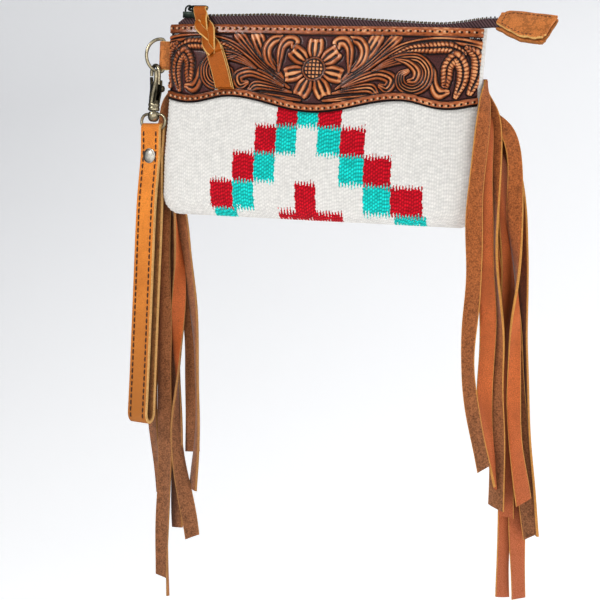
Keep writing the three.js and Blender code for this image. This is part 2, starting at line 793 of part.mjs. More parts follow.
function snapHook() {
  const line = [
    hookPlane.at(-HOOK.bend, HOOK.noseEnd),
    ...arc(hookPlane, { u: 0, v: HOOK.bendZ }, HOOK.bend, HOOK.bend, 180, 0, HOOK.bendSteps),
    hookPlane.at(HOOK.bend, HOOK.limbEnd),
  ];
  const claw = wire(line, hookPlane.normal, HOOK.wire, false);
  const cheeks = plate(hookPlane, hookOutline(CHEEK_OUTLINE), 2 * HOOK.cheekHalf);
  const collar = post(swivel.x, swivel.y, COLLAR.radius, COLLAR.top, COLLAR.bottom);
  const slot = plate(hookPlane, [
    [-HOOK.slotReach, HOOK.slotBottom],
    [HOOK.slotReach, HOOK.slotBottom],
    [HOOK.slotReach, HOOK.slotTop],
    [-HOOK.slotReach, HOOK.slotTop],
  ], 2 * HOOK.slotHalf);
  const cavity = post(swivel.x, swivel.y, COLLAR.cavity, COLLAR.cavityTop, COLLAR.cavityBottom);
  const bore = post(swivel.x, swivel.y, COLLAR.bore, COLLAR.cavityTop - GAP, COLLAR.boreEnd);
  const body = cut(fuse([claw, cheeks, collar]), [slot, cavity, bore]);
  const pin = crossPin(GATE.pivotU, GATE.pivotZ, GATE.pin, GATE.pinHeadHalf);
  const headHalf = (GATE.pinHeadHalf - HOOK.cheekHalf + GAP) / 2;
  const heads = [-1, 1].map((way) => {
    const head = crossPin(GATE.pivotU, GATE.pivotZ, GATE.pinHead, headHalf);
    const out = hookPlane.normal.clone().multiplyScalar(way * (GATE.pinHeadHalf - headHalf));
    return head.translate(out.x, out.y, out.z);
  });
  return fuse([body, pin, ...heads]);
}

function snapGate() {
  const hole = { u: GATE.pivotU, v: GATE.pivotZ, radius: GATE.hole };
  return plate(hookPlane, hookOutline(GATE_OUTLINE), 2 * GATE.half, [hole]);
}

// Swivel eye and wrist strap

const strapAcross = horizontal(STRAP.turn);
const strapOut = strapAcross.clone().cross(up).normalize();
const strapAt = (out, z) => vec(swivel.x, swivel.y, z).addScaledVector(strapOut, out);

function swivelEye() {
  const middle = (EYE.top + EYE.bottom) / 2;
  const sheet = plane(strapAt(0, middle), strapAcross, up);
  const loop = roundedLoop(sheet, EYE.halfWidth, (EYE.top - EYE.bottom) / 2, EYE.corner);
  return fuse([
    wire(loop, sheet.normal, EYE.wire, true),
    post(swivel.x, swivel.y, EYE.stem, EYE.headBottom + GAP, EYE.top),
    post(swivel.x, swivel.y, EYE.head, EYE.headTop, EYE.headBottom),
  ]);
}

// The strap's closed middle line: distance out from the swivel's axis, and height.
function strapLine() {
  const heights = [
    ...steps(EYE.bottom, STRAP.closedTo, STRAP.closedSteps),
    ...steps(STRAP.loopFrom, STRAP.loopTo, STRAP.loopSteps),
  ];
  const spreadAt = (z) => along(STRAP_SPREAD, 'z', 'spread', z);
  const foldTop = spreadAt(EYE.bottom);
  const foldLow = spreadAt(STRAP.loopTo);
  const reach = STRAP.loopTo - STRAP.bottom - STRAP.thickness / 2;
  const over = steps(180, 0, STRAP.foldSteps).slice(1, -1).map((turn) => ({
    out: foldTop * Math.cos(radians(turn)),
    z: EYE.bottom + foldTop * Math.sin(radians(turn)),
  }));
  const under = steps(0, -180, STRAP.foldSteps).slice(1, -1).map((turn) => ({
    out: foldLow * Math.cos(radians(turn)),
    z: STRAP.loopTo + reach * Math.sin(radians(turn)),
  }));
  const down = heights.map((z) => ({ out: spreadAt(z), z }));
  const back = [...heights].reverse().map((z) => ({ out: -spreadAt(z), z }));
  return [...over, ...down, ...under, ...back];
}

// A round bar through both legs, at the rivet's height.
function throughStrap(radius, from, to) {
  const geometry = new THREE.CylinderGeometry(radius, radius, to - from, ROUND.barSides);
  const basis = new THREE.Matrix4().makeBasis(strapAcross, strapOut, up.clone().negate());
  const at = strapAt((from + to) / 2, STRAP.rivetZ);
  return geometry.applyMatrix4(basis).translate(at.x, at.y, at.z);
}

const strapOuterFace = along(STRAP_SPREAD, 'z', 'spread', STRAP.rivetZ) + STRAP.thickness / 2;

function wristStrap() {
  const line = strapLine();
  const half = STRAP.thickness / 2;
  const rings = line.map((here, k) => {
    const before = line[(k + line.length - 1) % line.length];
    const after = line[(k + 1) % line.length];
    const length = Math.hypot(after.out - before.out, after.z - before.z);
    const outward = { out: (before.z - after.z) / length, z: (after.out - before.out) / length };
    const corner = (across, way) => (
      strapAt(here.out + way * half * outward.out, here.z + way * half * outward.z)
        .addScaledVector(strapAcross, (across * STRAP.width) / 2)
    );
    return [corner(-1, 1), corner(1, 1), corner(1, -1), corner(-1, -1)];
  });
  const far = strapOuterFace + STRAP.thickness;
  return cut(loft(rings, true), [throughStrap(RIVET.hole, -far, far)]);
}

function strapRivet() {
  const face = strapOuterFace + RIVET.clearance;
  const profile = RIVET_DOME.map(({ radius, height }) => new THREE.Vector2(radius, height));
  const dome = new THREE.LatheGeometry(profile, ROUND.barSides);
  const basis = new THREE.Matrix4().makeBasis(strapAcross, strapOut, up.clone().negate());
  const at = strapAt(face, STRAP.rivetZ);
  dome.applyMatrix4(basis).translate(at.x, at.y, at.z);
  return fuse([
    dome,
    throughStrap(RIVET.shank, -face - GAP, face + GAP),
    throughStrap(RIVET.cap, -face - RIVET.capHeight, -face),
  ]);
}

// Fringe

// One flat strip from its root over its shoulder to its end, turned about its own length.
function fringeStrip(root, row) {
  const shoulder = { y: lerp(root.y, row.depth, STRIP.shoulderShare), z: root.z - STRIP.shoulderDrop };
  const places = row.xs.map((x, i) => (
    vec(x, i ? row.depth : shoulder.y, lerp(shoulder.z, row.endZ, i / (row.xs.length - 1)))
  ));
  const line = new THREE.CatmullRomCurve3([root, ...places]);
  const turns = row.turns.map((turn, i) => ({ at: i / (row.turns.length - 1), turn }));
  const rings = steps(0, 1, STRIP.stations).map((t) => {
    const tangent = line.getTangent(t);
    const turn = along(turns, 'at', 'turn', t);
    const across = horizontal(turn);
    across.addScaledVector(tangent, -across.dot(tangent)).normalize();
    const face = tangent.clone().cross(across);
    const width = STRIP.width * lerp(STRIP.rootShare, 1, ramp(t, 0, STRIP.spreadBy));
    const corner = (a, b) => line.getPoint(t)
      .addScaledVector(across, (a * width) / 2)
      .addScaledVector(face, (b * STRIP.thickness) / 2);
    return [corner(-1, -1), corner(1, -1), corner(1, 1), corner(-1, 1)];
  });
  return loft(rings);
}

// The left header lies behind the seam, out of the swivel's turning circle.
function fringeLeft() {
  const shares = steps(-LEFT_HEADER.from, -LEFT_HEADER.to, LEFT_HEADER.columns);
  const grid = (inset) => steps(LEFT_HEADER.top, LEFT_HEADER.bottom, LEFT_HEADER.rows).map((z) => (
    shares.map((share) => onPouch(share, z, inset, 1))
  ));
  const share = -(LEFT_HEADER.from + LEFT_HEADER.to) / 2;
  const strips = LEFT_STRIPS.map((row) => (
    fringeStrip(onPouch(share, row.rootZ, -LEFT_HEADER.outer, 1), row)
  ));
  return fuse([wall(grid(-LEFT_HEADER.outer), grid(-LEFT_HEADER.inner)), ...strips]);
}

// The right header stands out of the seam in the seam's own plane.
function fringeRight() {
  const grid = (y) => steps(RIGHT_HEADER.top, RIGHT_HEADER.bottom, RIGHT_HEADER.rows).map((z) => (
    [RIGHT_HEADER.inner, RIGHT_HEADER.outer].map((out) => vec(sectionAt(z, -out).halfWidth, y, z))
  ));
  const strips = RIGHT_STRIPS.map((row) => {
    const x = sectionAt(row.rootZ, -RIGHT_HEADER.outer).halfWidth - RIGHT_HEADER.half;
    return fringeStrip(vec(x, 0, row.rootZ), row);
  });
  return fuse([wall(grid(-RIGHT_HEADER.half), grid(RIGHT_HEADER.half)), ...strips]);
}

// Assembly

const clutch = new THREE.Group();
clutch.name = 'clutch_wallet';

function add(name, geometry, finish) {
  const mesh = new THREE.Mesh(geometry, new THREE.MeshStandardMaterial(finish));
  mesh.name = name;
  clutch.add(mesh);
}

add('front_panel', pouchPanel(-1), FINISH.wool);
add('back_panel', pouchPanel(1), FINISH.wool);
add('tooled_band', tooledBand(), FINISH.tooled);
add('zipper_tape_front', zipperTape(-1), FINISH.tape);
add('zipper_tape_back', zipperTape(1), FINISH.tape);
add('zipper_chain', zipperChain(), FINISH.brass);
add('zipper_slider', zipperSlider(), FINISH.dark);
add('zipper_pull', zipperPull(), FINISH.dark);
add('braided_pull', braidedPull(), FINISH.tan);
add('zipper_end_tab', zipperEndTab(), FINISH.tan);
add('side_tab', sideTab(), FINISH.tan);
add('d_ring', dRing(), FINISH.brass);
add('snap_hook', snapHook(), FINISH.brass);
add('snap_gate', snapGate(), FINISH.dark);
add('swivel_eye', swivelEye(), FINISH.brass);
add('wrist_strap', wristStrap(), FINISH.tan);
add('strap_rivet', strapRivet(), FINISH.nickel);
add('fringe_left', fringeLeft(), FINISH.fringe);
add('fringe_right', fringeRight(), FINISH.fringe);

export default clutch;
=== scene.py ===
"""Looks of a fringed clutch wallet: woven wool pouch, tooled leather yoke, zip, wrist strap and fringe.

Sizes in the tables are millimetres in the part's own frame. Meshes are made in metres.
"""
import math
from types import SimpleNamespace as Sizes

import bmesh
import bpy
import numpy as np
from mathutils import Matrix, Vector


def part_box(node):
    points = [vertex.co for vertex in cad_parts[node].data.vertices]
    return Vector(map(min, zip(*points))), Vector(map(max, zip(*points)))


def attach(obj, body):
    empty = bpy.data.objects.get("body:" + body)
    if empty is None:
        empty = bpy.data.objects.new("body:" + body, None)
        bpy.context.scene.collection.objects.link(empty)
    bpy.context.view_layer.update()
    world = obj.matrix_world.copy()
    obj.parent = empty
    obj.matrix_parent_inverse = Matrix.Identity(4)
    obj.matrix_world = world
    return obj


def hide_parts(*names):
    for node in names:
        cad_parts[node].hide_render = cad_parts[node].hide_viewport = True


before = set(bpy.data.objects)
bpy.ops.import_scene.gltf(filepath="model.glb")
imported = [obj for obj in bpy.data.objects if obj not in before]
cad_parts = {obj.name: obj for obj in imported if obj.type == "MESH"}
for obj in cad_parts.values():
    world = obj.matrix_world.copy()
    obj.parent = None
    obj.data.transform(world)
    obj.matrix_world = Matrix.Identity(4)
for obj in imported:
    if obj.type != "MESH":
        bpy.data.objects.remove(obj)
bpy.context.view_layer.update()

bl_info = {
    "name": "Fringed clutch wallet",
    "version": (1, 0, 0),
    "blender": (4, 5, 0),
    "location": "3D View > Sidebar > Clutch",
    "description": "Dresses the packed frame of a clutch wallet with wool, tooled leather, metal and fringe",
    "category": "Add Mesh",
}

MM = 0.001
X, Y, UP = np.eye(3)

# The pouch, as the solids have it
POUCH = Sizes(
    wall=2.2, roll_top=-98.0, corner=14.0, squareness=5.0, seam_gap=0.15, length=145.0,
    steps=240, roll_steps=160, round_steps=2000,
)
POUCH_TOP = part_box("front_panel")[1].z / MM
POUCH_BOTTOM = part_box("front_panel")[0].z / MM
POUCH_WIDTHS = ((-98, 112.8), (-72, 111.6), (-45, 110.8), (-22, 111.4), (-6.8, 112.0))
POUCH_DEPTHS = ((-98, 15.4), (-72, 15.0), (-45, 13.2), (-22, 10.0), (-6.8, 6.2))

# Wool: each row of the pattern is a string of blocks, R red, T turquoise and a dot for bare wool
BLOCK_EDGES = (-74.0, -57.5, -42.0, -27.0, -12.4, 2.4, 18.6, 35.6, 54.6, 76.6)
BLOCK_LEVELS = (-55.0, -76.3, -95.2, -114.8, -134.2, -141.0)
LOWEST_ROW_SHIFT = 2.4
BLOCK_ROWS = ("...RTR...", "..RT.TR..", ".RT...TR.", "RT..R..TR", "T..RRR..T")
DYES = {".": 0.0, "R": 0.5, "T": 1.0}
WEAVE = Sizes(
    columns=3, rows=4, slant=0.3, scatter=0.7, thin=0.62, bump_key=131.0, fade=4,
    comb_pitch=2.14, comb_height=2.3, comb_least=0.55, comb_range=0.9, row_height=19, row_key=57,
    waver=0.3, waver_rate=0.9, jog=0.5, jog_height=1.3,
)

# The yoke, its border and its tooled pattern
YOKE = Sizes(
    lift=0.55, thickness=2.4, left_end=-0.976, right_end=0.962, rounding=0.3, middle=-2.0,
    columns=560, rows=146, hem=3.0, cut_depth=0.45,
)
SCALLOP = Sizes(
    middle_half=60.0, middle_level=-62.1, middle_swing=4.7, side_half=30.0, side_level=-59.8, side_swing=2.4,
)
BORDER = Sizes(top=6.2, bottom=5.6, line=0.75, line_reach=2.2, painted=1.3, soft=0.3, bevel=0.9, shadow=0.8)
HOLES = Sizes(
    top_inset=3.0, top_pitch=4.9, bottom_inset=2.7, bottom_pitch=4.2, radius=0.8, bead=0.66,
    hole_at=0.62, bead_at=0.32, bead_rise=0.1,
)
FLOWER = Sizes(
    x=-2.7, z=-37.0, disc=6.6, rim=8.2, petals=7, inner=7.4, outer=17.0, hatch=2.65, disc_tone=0.92,
    rim_tone=0.45, rim_line=0.55, rim_reach=1.8, disc_line=0.4, hatch_line=0.42, top=0.2, dome=0.008,
    cut_depth=0.5,
)
# Heights and tones of the plain bands along the edges
BAND = Sizes(
    level=-0.12, bevel=0.5, hole=0.7, bead=0.22, tone=0.66, shadow=0.2,
    mottle=0.12, mottle_x=0.9, mottle_in=2.1,
)
# Heights and worn tones of the carving: its ground, a ribbon's low side, crown, ridges and cuts; the lightest
# tones of the tops are partly painted highlight
CARVE = Sizes(
    ground=-0.95, low=-0.6, crown=0.36, crown_power=2.4, ridge=0.3, cut_depth=0.42, cut=0.66, rim=0.7,
    rim_reach=2.2, margin=2.0, steps=90,
)
GROOVE = Sizes(open_from=0.08, open_by=0.25, close_in=0.1, thin=0.5, flare=0.7)
CARVE_TONE = Sizes(low=0.02, crown=0.3, ridge=0.5, tip=0.14, cut=0.3)
RIB = Sizes(height=0.14, tone=0.16, slope=0.5, cut_from=0.55, cut=1.6, spine=0.08, fade=0.6)
# How a carved ribbon ends: how far past its line in half widths, how much its corners stand past its middle,
# how wide its grooves are and the share of the line at which they stop
RIBBON_END = Sizes(past=2.0, notch=0.0, slot=1.0, stop=0.9)
PETAL_END = Sizes(past=0.55, notch=0.2, slot=1.2, stop=1.08)
PETAL_WIDTHS = (2.7, 3.7, 4.9, 6.1, 5.9)
# A row per carved ribbon of the right half: the grooves along it, the pitch of the ribs across it, and its
# line as distances from the flower's middle, heights and half widths. The left half is its mirror image.
RIBBONS = (
    (1, 0, ((16.5, -50.3, 0.9), (30.8, -40.7, 2.3), (47, -28.2, 2.2), (61, -19.8, 2.2), (79, -15.9, 2.4),
            (97, -16, 2.8), (113, -18.5, 3.2))),
    (1, 2.6, ((52, -28, 0.6), (66, -22.4, 2.8), (79.6, -21, 4.0), (92, -20.6, 4.0), (102, -24, 1.6))),
    (1, 2.4, ((103, -20.5, 1.6), (109.5, -25, 4.4), (111.5, -36, 5.0), (107, -50, 2.2))),
    (1, 2.3, ((90, -52, 1.8), (91, -41, 4.0), (91.5, -33, 4.2), (96.4, -27, 4.6), (101, -33, 4.4),
              (101.5, -42, 4.0), (98, -53, 1.8))),
    (1, 0, ((76, -28, 0.8), (81.7, -36.6, 2.2), (83, -45.6, 3.2), (86.5, -51.3, 4.2), (92, -50.5, 2.0))),
    (1, 0, ((8, -58.6, 0.9), (25, -56.6, 1.8), (42, -55.2, 2.1), (58, -54.2, 2.0), (72, -54.4, 0.8))),
    (2, 0, ((14.5, -53.4, 0.8), (29, -50.2, 2.6), (40.7, -49.3, 3.5), (44.5, -52.5, 2.0))),
    (2, 0, ((20.7, -49.2, 0.8), (35, -42.6, 3.0), (46, -39.8, 3.8), (54, -43.3, 4.2), (51.6, -49, 3.4),
            (47, -47.5, 1.8))),
    (2, 0, ((19.4, -46.1, 0.8), (36.8, -33.4, 2.0), (48.7, -21.5, 3.0), (55, -14.6, 4.4))),
    (2, 0, ((20.4, -44, 0.8), (29.5, -34.6, 2.8), (38, -23.2, 4.8), (42, -15.4, 5.0))),
    (1, 0, ((27, -38, 0.8), (33, -31, 3.0), (34.2, -23.5, 3.6), (30.5, -17.6, 3.6), (25, -16, 2.4))),
    (1, 0, ((24.6, -39, 0.8), (24.6, -29.5, 2.6), (23.6, -22, 3.2), (19.8, -17.6, 4.2), (15.4, -18.2, 4.0),
            (15.6, -21.6, 2.2))),
    (3, 0, ((41, -37.4, 0.8), (51.4, -31.9, 2.8), (61.6, -28.8, 3.6), (72, -29.4, 4.0), (78, -36.6, 4.2),
            (76.4, -45.5, 4.2), (69, -49.6, 3.8), (61.4, -46.6, 3.6), (60.4, -40, 3.0), (64.5, -37.2, 1.8))),
    (1, 0, ((56, -29.2, 0.6), (65, -31.6, 2.2), (71, -37.4, 3.0), (70, -42.6, 2.6), (66.4, -43.6, 1.6))),
)
GROOVES = {1: (0.0,), 2: (-0.36, 0.36), 3: (-0.5, 0.0, 0.5)}

# The zip
ZIP = Sizes(
    tape=0.9, left=-107.0, right=123.5, ridge_spread=1.2, tail_spread=0.6, chain_left=-95.5,
    chain_right=119.5, chain_height=1.1, gap=0.35, foot=-14.0, foot_end=-6.2, taper_from=90.0,
    taper_to=103.0, slope_from=4.0, slope_to=8.0, columns=220, rows=9,
)
TOOTH = Sizes(length=0.85, reach=1.85, past_middle=0.45, chamfer=0.25)
RIDGE = (
    (-108, 0.4), (-62, 1.4), (-36, 2.0), (10, 0.4), (40, -1.0), (80, -2.6), (93, -1.6), (106, 0.5),
    (124, 1.9),
)
TAIL = Sizes(lean=math.radians(33), start=104.0, end=117.0, axis_z=-1.5)
SLIDER = Sizes(left=-103.0, right=-92.0, bottom=-2.2, plate=1.2, top=2.2, inner=2.5, outer=3.9, round=0.35)
BAIL = Sizes(left=-102.4, right=-97.0, top=7.4, foot=1.9, wire=0.62, steps=13)
PULL = Sizes(left=-100.5, right=-85.6, half_height=4.0, corner=2.6, wire=0.9, tilt=32.0, z=5.0)
BRAID = Sizes(
    thickness=2.2, fold_x=-90.2, fold_half=4.6, fold_from=175, fold_steps=14, steps=64, layer=1.0, raw=0.48,
    below_fold=8.2, period=47.0, turns=0.61, swing=3.5, cross=1.3, roll=0.35, under=3.0, over=3.5,
    cut_slope=0.35, strand_half=2.9, strand=1.5, strand_raw=0.7, strand_lift=1.2, strand_steps=70,
    flat_steps=40,
)
BRAID_LINE = ((-52.5, -64.8), (-40, -69), (-28, -73.8), (-14.5, -80.4), (-6.8, -85.0))
BRAID_WIDTHS = ((-52.5, 5.8), (-40, 5.9), (-28, 5.8), (-14.5, 5.6), (-6.8, 5.2))
# The two layers below the plait: how much shorter, how far out and how far across
BRAID_TAILS = ((1.2, 0.55, 0.0), (0.0, -0.5, 0.9))
END_TAB = Sizes(
    thickness=6.2, layer=2.5, round=0.45, wave=0.9, wave_steps=4, wave_seed=7, drop=1.3, drop_by=8,
    grow=1.02, fold_inset=0.6, fold_depth=1.8, stitch_line=0.82, stitch_from=5, stitch_to=3,
    stitch_steps=120, stitch_pitch=2.7, stitch=1.5, thread=0.3,
)
END_TAB_OUTLINE = (
    (120.9, 3.9), (127.5, 5.6), (157.8, 1.9), (151.5, -13.7), (149.6, -16.4),
    (145.0, -17.0), (134.6, -15.1), (126.5, -10.8), (118.0, -4.9),
)
END_TAB_FOLD = ((127.5, 4.9), (127.5, 4.9), (157.0, 1.2), (157.0, 1.2))
STITCH = Sizes(steps=5, sides=6, arch=0.9, sunk=0.7, bend=1e-4)

# Ring, snap hook and swivel
RING = Sizes(
    bar_x=-117.4, z=-28.6, half=11.6, depth=12.3, corner=2.1, wire=1.15, turn=27.0,
    bar_steps=8, corner_steps=7, bow_steps=36,
)
SIDE_TAB = Sizes(
    top=-18.6, bottom=-38.6, outer=3.0, layer=1.3, raw=0.3, seam_x=-112.3, seam_half=1.7, neck=2.2,
    flare=0.45, bend_from=70, bend_to=290, bend_steps=25,
)
HOOK = Sizes(
    reach=5.5, turn=-36.0, wire=1.4, bend=4.6, bend_z=-40.5, limb_end=-49.5, nose_end=-43.2, nose=1.2,
    cheek=2.5, slot=1.2, cheek_round=0.4, bar_sunk=0.2, bar=1.1, bridge_past=0.3, bridge_round=0.3,
    bend_steps=25, limb_steps=8, bar_steps=24,
)
# Shares along the claw's wire and its thickness there
CLAW_TAPER = ((0, 0.06, 0.5, 1), (0.75, 0.95, 1.0, 1.15))
CHEEK_OUTLINE = (
    (-1.6, -50.4), (2.8, -46.4), (6.2, -46.4), (6.3, -53.5), (4.9, -58.6), (3.7, -63.4),
    (-3.5, -63.4), (-3.3, -58.0),
)
HOOK_BAR = ((4.6, -40.5), (4.9, -45.5), (3.4, -51.5), (1.4, -57.5), (0.4, -62.5))
BRIDGE_OUTLINE = ((-3.8, -60.5), (3.8, -60.5), (3.4, -63.3), (-3.4, -63.3))
GATE = Sizes(half=0.85, round=0.3, pivot=(-0.8, -56.5), pin=0.8, lug=(9.4, -52.8), lug_past=0.5)
GATE_OUTLINE = (
    (-5.9, -43.9), (-3.6, -43.9), (-2.9, -50.2), (2.2, -52.6), (7.2, -51.0), (9.6, -50.6), (10.6, -52.6),
    (9.4, -54.8), (7.0, -55.0), (2.6, -58.2), (-2.2, -60.0), (-4.7, -60.9), (-5.7, -58.0), (-5.1, -51.5),
)
# Turned forms: radius and height
LUG_PROFILE = ((1.9, 0), (2.3, 0.5), (2.3, 2.2), (1.9, 2.7))
PIN_PROFILE = ((1.5, 0), (1.5, 0.25), (1.05, 0.5), (0, 0.6))
COLLAR_PROFILE = (
    (0, -62.0), (3.2, -62.0), (4.0, -62.8), (4.2, -64.0), (3.7, -65.2), (4.2, -66.4),
    (4.0, -67.7), (3.0, -68.2), (0, -68.2),
)
BOSS_PROFILE = (
    (0, -66.0), (1.5, -66.0), (1.5, -68.5), (3.3, -68.7), (4.0, -69.8), (4.1, -72.6),
    (3.4, -74.6), (2.0, -75.6), (0, -75.8),
)
RIVET_PROFILE = (
    (0, 2.0), (1.9, 1.85), (3.5, 1.4), (4.5, 0.8), (4.8, 0.45), (5.2, 0.35), (5.2, -0.2), (0, -0.2),
)
CAP_PROFILE = ((0, 0.9), (3.06, 0.9), (3.6, 0.5), (3.6, 0))
EYE = Sizes(top=-70.4, bottom=-80.6, half=10.3, wire=1.05, corner=5.0)

# Wrist strap
STRAP = Sizes(
    turn=-15.0, width=16.6, thickness=2.6, round=0.55, rivet_z=-100.0, rivet_gap=0.3, shank=1.5,
    loop_to=-284.5, steps=90, fold_steps=18, stitch_inset=2.9, stitch_lift=0.15, stitch=0.66, stitch_past=3,
    thread=0.6, handled=-0.22,
)
STRAP_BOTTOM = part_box("wrist_strap")[0].z / MM
STRAP_SPREADS = (
    (-284, 4.6), (-260, 4.3), (-200, 4.2), (-135, 4.1), (-112, 2.5), (-100, 1.6), (-90, 2.0), (-80.6, 2.55),
)

# Fringe: a row per strip, as the solids have it
STRIP = Sizes(
    width=10.2, thickness=1.8, raw=0.45, steps=64, root_share=0.28, spread_by=0.16, drop=24.0, share=0.8,
    free_from=0.15, free_to=0.4, slant=0.4, slant_rate=2.9, slant_shift=0.6, faded=-0.33, dull=-0.24,
)
# Waves along a strip: size, rate along it and shift from strip to strip
RIPPLES = Sizes(
    turn=((6.0, 9, 1.7),), place=((0.55, 11, 2.1), (0.33, 23, 4.7)),
    width=((0.1, 9, 2.3), (0.05, 31, 0.9)), cup=((0.8, 7, 1.3), (0.4, 17, 3.1)),
)
LEFT_HEADER = Sizes(
    top=-43.0, bottom=-97.0, inner=0.35, outer=2.05, start=0.958, end=0.9965, columns=7, rows=24,
)
RIGHT_HEADER = Sizes(top=-40.0, bottom=-94.0, inner=0.4, outer=3.0, half=0.9, rows=24)
# Height of the root, depth, places across at even heights from the shoulder down, height of the cut end
# and turns at even steps. A turn of 0 has the grain side in front, 180 the flesh side.
STRIP_COLUMNS = ("root_z", "depth", "xs", "end_z", "turns")
LEFT_STRIPS = (
    (-48, 22.4, (-121, -119, -114.5, -111.5, -104.3), -425, (178, 165, 140, 112, 104)),
    (-55, 20.6, (-122, -122, -123.5, -122.5, -114.3), -348, (178, 170, 160, 150, 150)),
    (-62, 19, (-119, -107.5, -97.5, -93.2, -90), -314, (178, 182, 186, 184, 174)),
    (-69, 17, (-115.5, -112, -107, -102, -97.2), -371, (178, 172, 166, 158, 150)),
    (-76, 15.2, (-113.2, -101.5, -91, -84.8, -86.4), -341, (178, 180, 150, 110, 140)),
    (-84, 12.8, (-113.8, -104.6, -101.5, -99.6, -85), -376, (170, 140, 15, -120, -165)),
    (-92, 10.6, (-116.5, -113, -110.4, -107.8, -106.2), -407, (178, 184, 186, 180, 176)),
)
RIGHT_STRIPS = (
    (-41, -14, (114.4, 112.2, 113.8, 115, 128.5), -300, (228, 204, 184, 182, 176)),
    (-46, -1, (119.3, 123.6, 131.3, 132.8, 136.6), -328, (180, 170, 112, 165, 172)),
    (-50, -6, (116, 119.5, 123.8, 125.2, 136.3), -314, (60, 34, 18, 24, 98)),
    (-56, 2, (131.7, 138.3, 141.9, 144.8, 154), -323, (195, 195, 105, 15, 15)),
    (-60, 10, (123.5, 131, 142.5, 149, 160), -348, (188, 188, 186, 184, 182)),
    (-66, 13, (131.5, 143.6, 145.8, 153.4, 164.5), -346, (170, 150, 140, 118, 112)),
    (-72, 6, (125.5, 132.8, 135.4, 139, 142.3), -335, (70, 45, 40, 60, 12)),
    (-80, 15.5, (125.5, 135, 141, 147.7, 153.4), -393, (60, 20, 10, 8, 10)),
    (-88, 18.5, (122.5, 131.2, 136, 139.6, 143.2), -394, (60, 24, 14, 18, 22)),
)

# Camera and stage. The floor and the lights are in metres.
CAMERA = Sizes(
    place=(237.0, -915.4, -129.8), target=(-8.3, 0.0, -196.05), roll=math.radians(2.8),
    lens=81.43, sensor=36.0,
)
# The surround beyond the backdrop looks paler than the light that it gives
SURROUND = Sizes(colour=(0.93, 0.95, 1.0, 1.0), light=0.17, seen=0.75)
FLOOR = Sizes(
    z=-0.62, front=-2.4, back=1.6, half_width=3.0, height=2.6, bend=0.8, bend_steps=16, columns=9,
)
LIGHT_TARGET = (0.0, 0.0, -0.2)
LIGHTS = {
    "key_light": ((-0.9, -1.3, 0.9), 0.5, 15),
    "fill_light": ((1.3, -1.2, 0.2), 1.0, 4.5),
    "top_light": ((0.1, 0.2, 1.4), 1.0, 4),
    "front_light": ((0.1, -1.9, 0.0), 1.4, 6),
    "rim_light": ((1.7, 0.25, 0.35), 0.8, 12),
}

# Metals: colour, roughness, brightness and how metallic
METALS = {
    "zip_brass": ("zip_teeth", 0.34, 1.0, 1.0),
    "dark_plating": ("dark_metal", 0.3, 1.0, 1.0),
    "worn_brass": ("brass", 0.2, 1.0, 0.8),
    "dark_brass": ("brass", 0.24, 0.3, 1.0),
    "rivet_nickel": ("nickel", 0.25, 1.0, 0.4),
}
# How far apart leathers lie where painted shade darkens the fold between them, and how dark that painted
# shade is, in metres and as a share
FOLD_SHADE = Sizes(reach=0.014, dark=0.22)


# Numbers and curves

def srgb(code):
    """Linear colour with alpha from a six-digit hex code."""
    values = [int(code[i:i + 2], 16) / 255 for i in (0, 2, 4)]
    return tuple(v / 12.92 if v <= 0.04045 else ((v + 0.055) / 1.055) ** 2.4 for v in values) + (1.0,)


def smooth_step(value, start, end):
    t = np.clip((np.asarray(value, float) - start) / (end - start), 0, 1)
    return t * t * (3 - 2 * t)


def along(table, at):
    """Smooth values of a two-column table at the given places, by the same curve as the solids."""
    keys, values = np.array(table, float).T
    steps = np.diff(values) / np.diff(keys)
    slope = np.concatenate([steps[:1], (values[2:] - values[:-2]) / (keys[2:] - keys[:-2]), steps[-1:]])
    i = np.clip(np.searchsorted(keys, at) - 1, 0, len(keys) - 2)
    span = keys[i + 1] - keys[i]
    t = np.clip((at - keys[i]) / span, 0, 1)
    ends = values[i] + (values[i + 1] - values[i]) * t * t * (3 - 2 * t)
    return ends + span * (t * (1 - t) ** 2 * slope[i] + t * t * (t - 1) * slope[i + 1])


def curve_through(points, count):
    """Even parameter steps of a centripetal curve through a few points."""
    p = np.asarray(points, float)
    p = np.vstack([2 * p[0] - p[1], p, 2 * p[-1] - p[-2]])
    spans = len(p) - 3
    made = []
    for t in np.linspace(0, spans, count + 1):
        i = min(int(t), spans - 1)
        a, b, c, d = p[i:i + 4]
        k0, k1, k2 = (max(np.linalg.norm(e), 1e-4) ** 0.5 for e in (b - a, c - b, d - c))
        leave = ((b - a) / k0 - (c - a) / (k0 + k1) + (c - b) / k1) * k1
        arrive = ((c - b) / k1 - (d - b) / (k1 + k2) + (d - c) / k2) * k1
        s = t - i
        made.append((2 * s**3 - 3 * s**2 + 1) * b + (s**3 - 2 * s**2 + s) * leave
                    + (3 * s**2 - 2 * s**3) * c + (s**3 - s**2) * arrive)
    return np.array(made)


def xyz(x, y, z):
    return np.stack(np.broadcast_arrays(x, y, z), -1).astype(float)


def unit(vectors):
    vectors = np.asarray(vectors, float)
    return vectors / np.maximum(np.linalg.norm(vectors, axis=-1, keepdims=True), 1e-12)


def dots(a, b):
    return (a * b).sum(-1, keepdims=True)


def toward(vectors, way):
    """Vectors with those that look away from a direction turned round."""
    return vectors * np.where(dots(vectors, way) < 0, -1, 1)


def tangents(line, joined=False):
    """Unit directions along a line of points, or round a loop."""
    return unit(np.roll(line, -1, 0) - np.roll(line, 1, 0) if joined else np.gradient(line, axis=0))


def square_to(tangent, vectors):
    return unit(vectors - tangent * dots(vectors, tangent))


def heading(degrees):
    """Level direction at an angle from +X."""
    return np.array([math.cos(math.radians(degrees)), math.sin(math.radians(degrees)), 0.0])


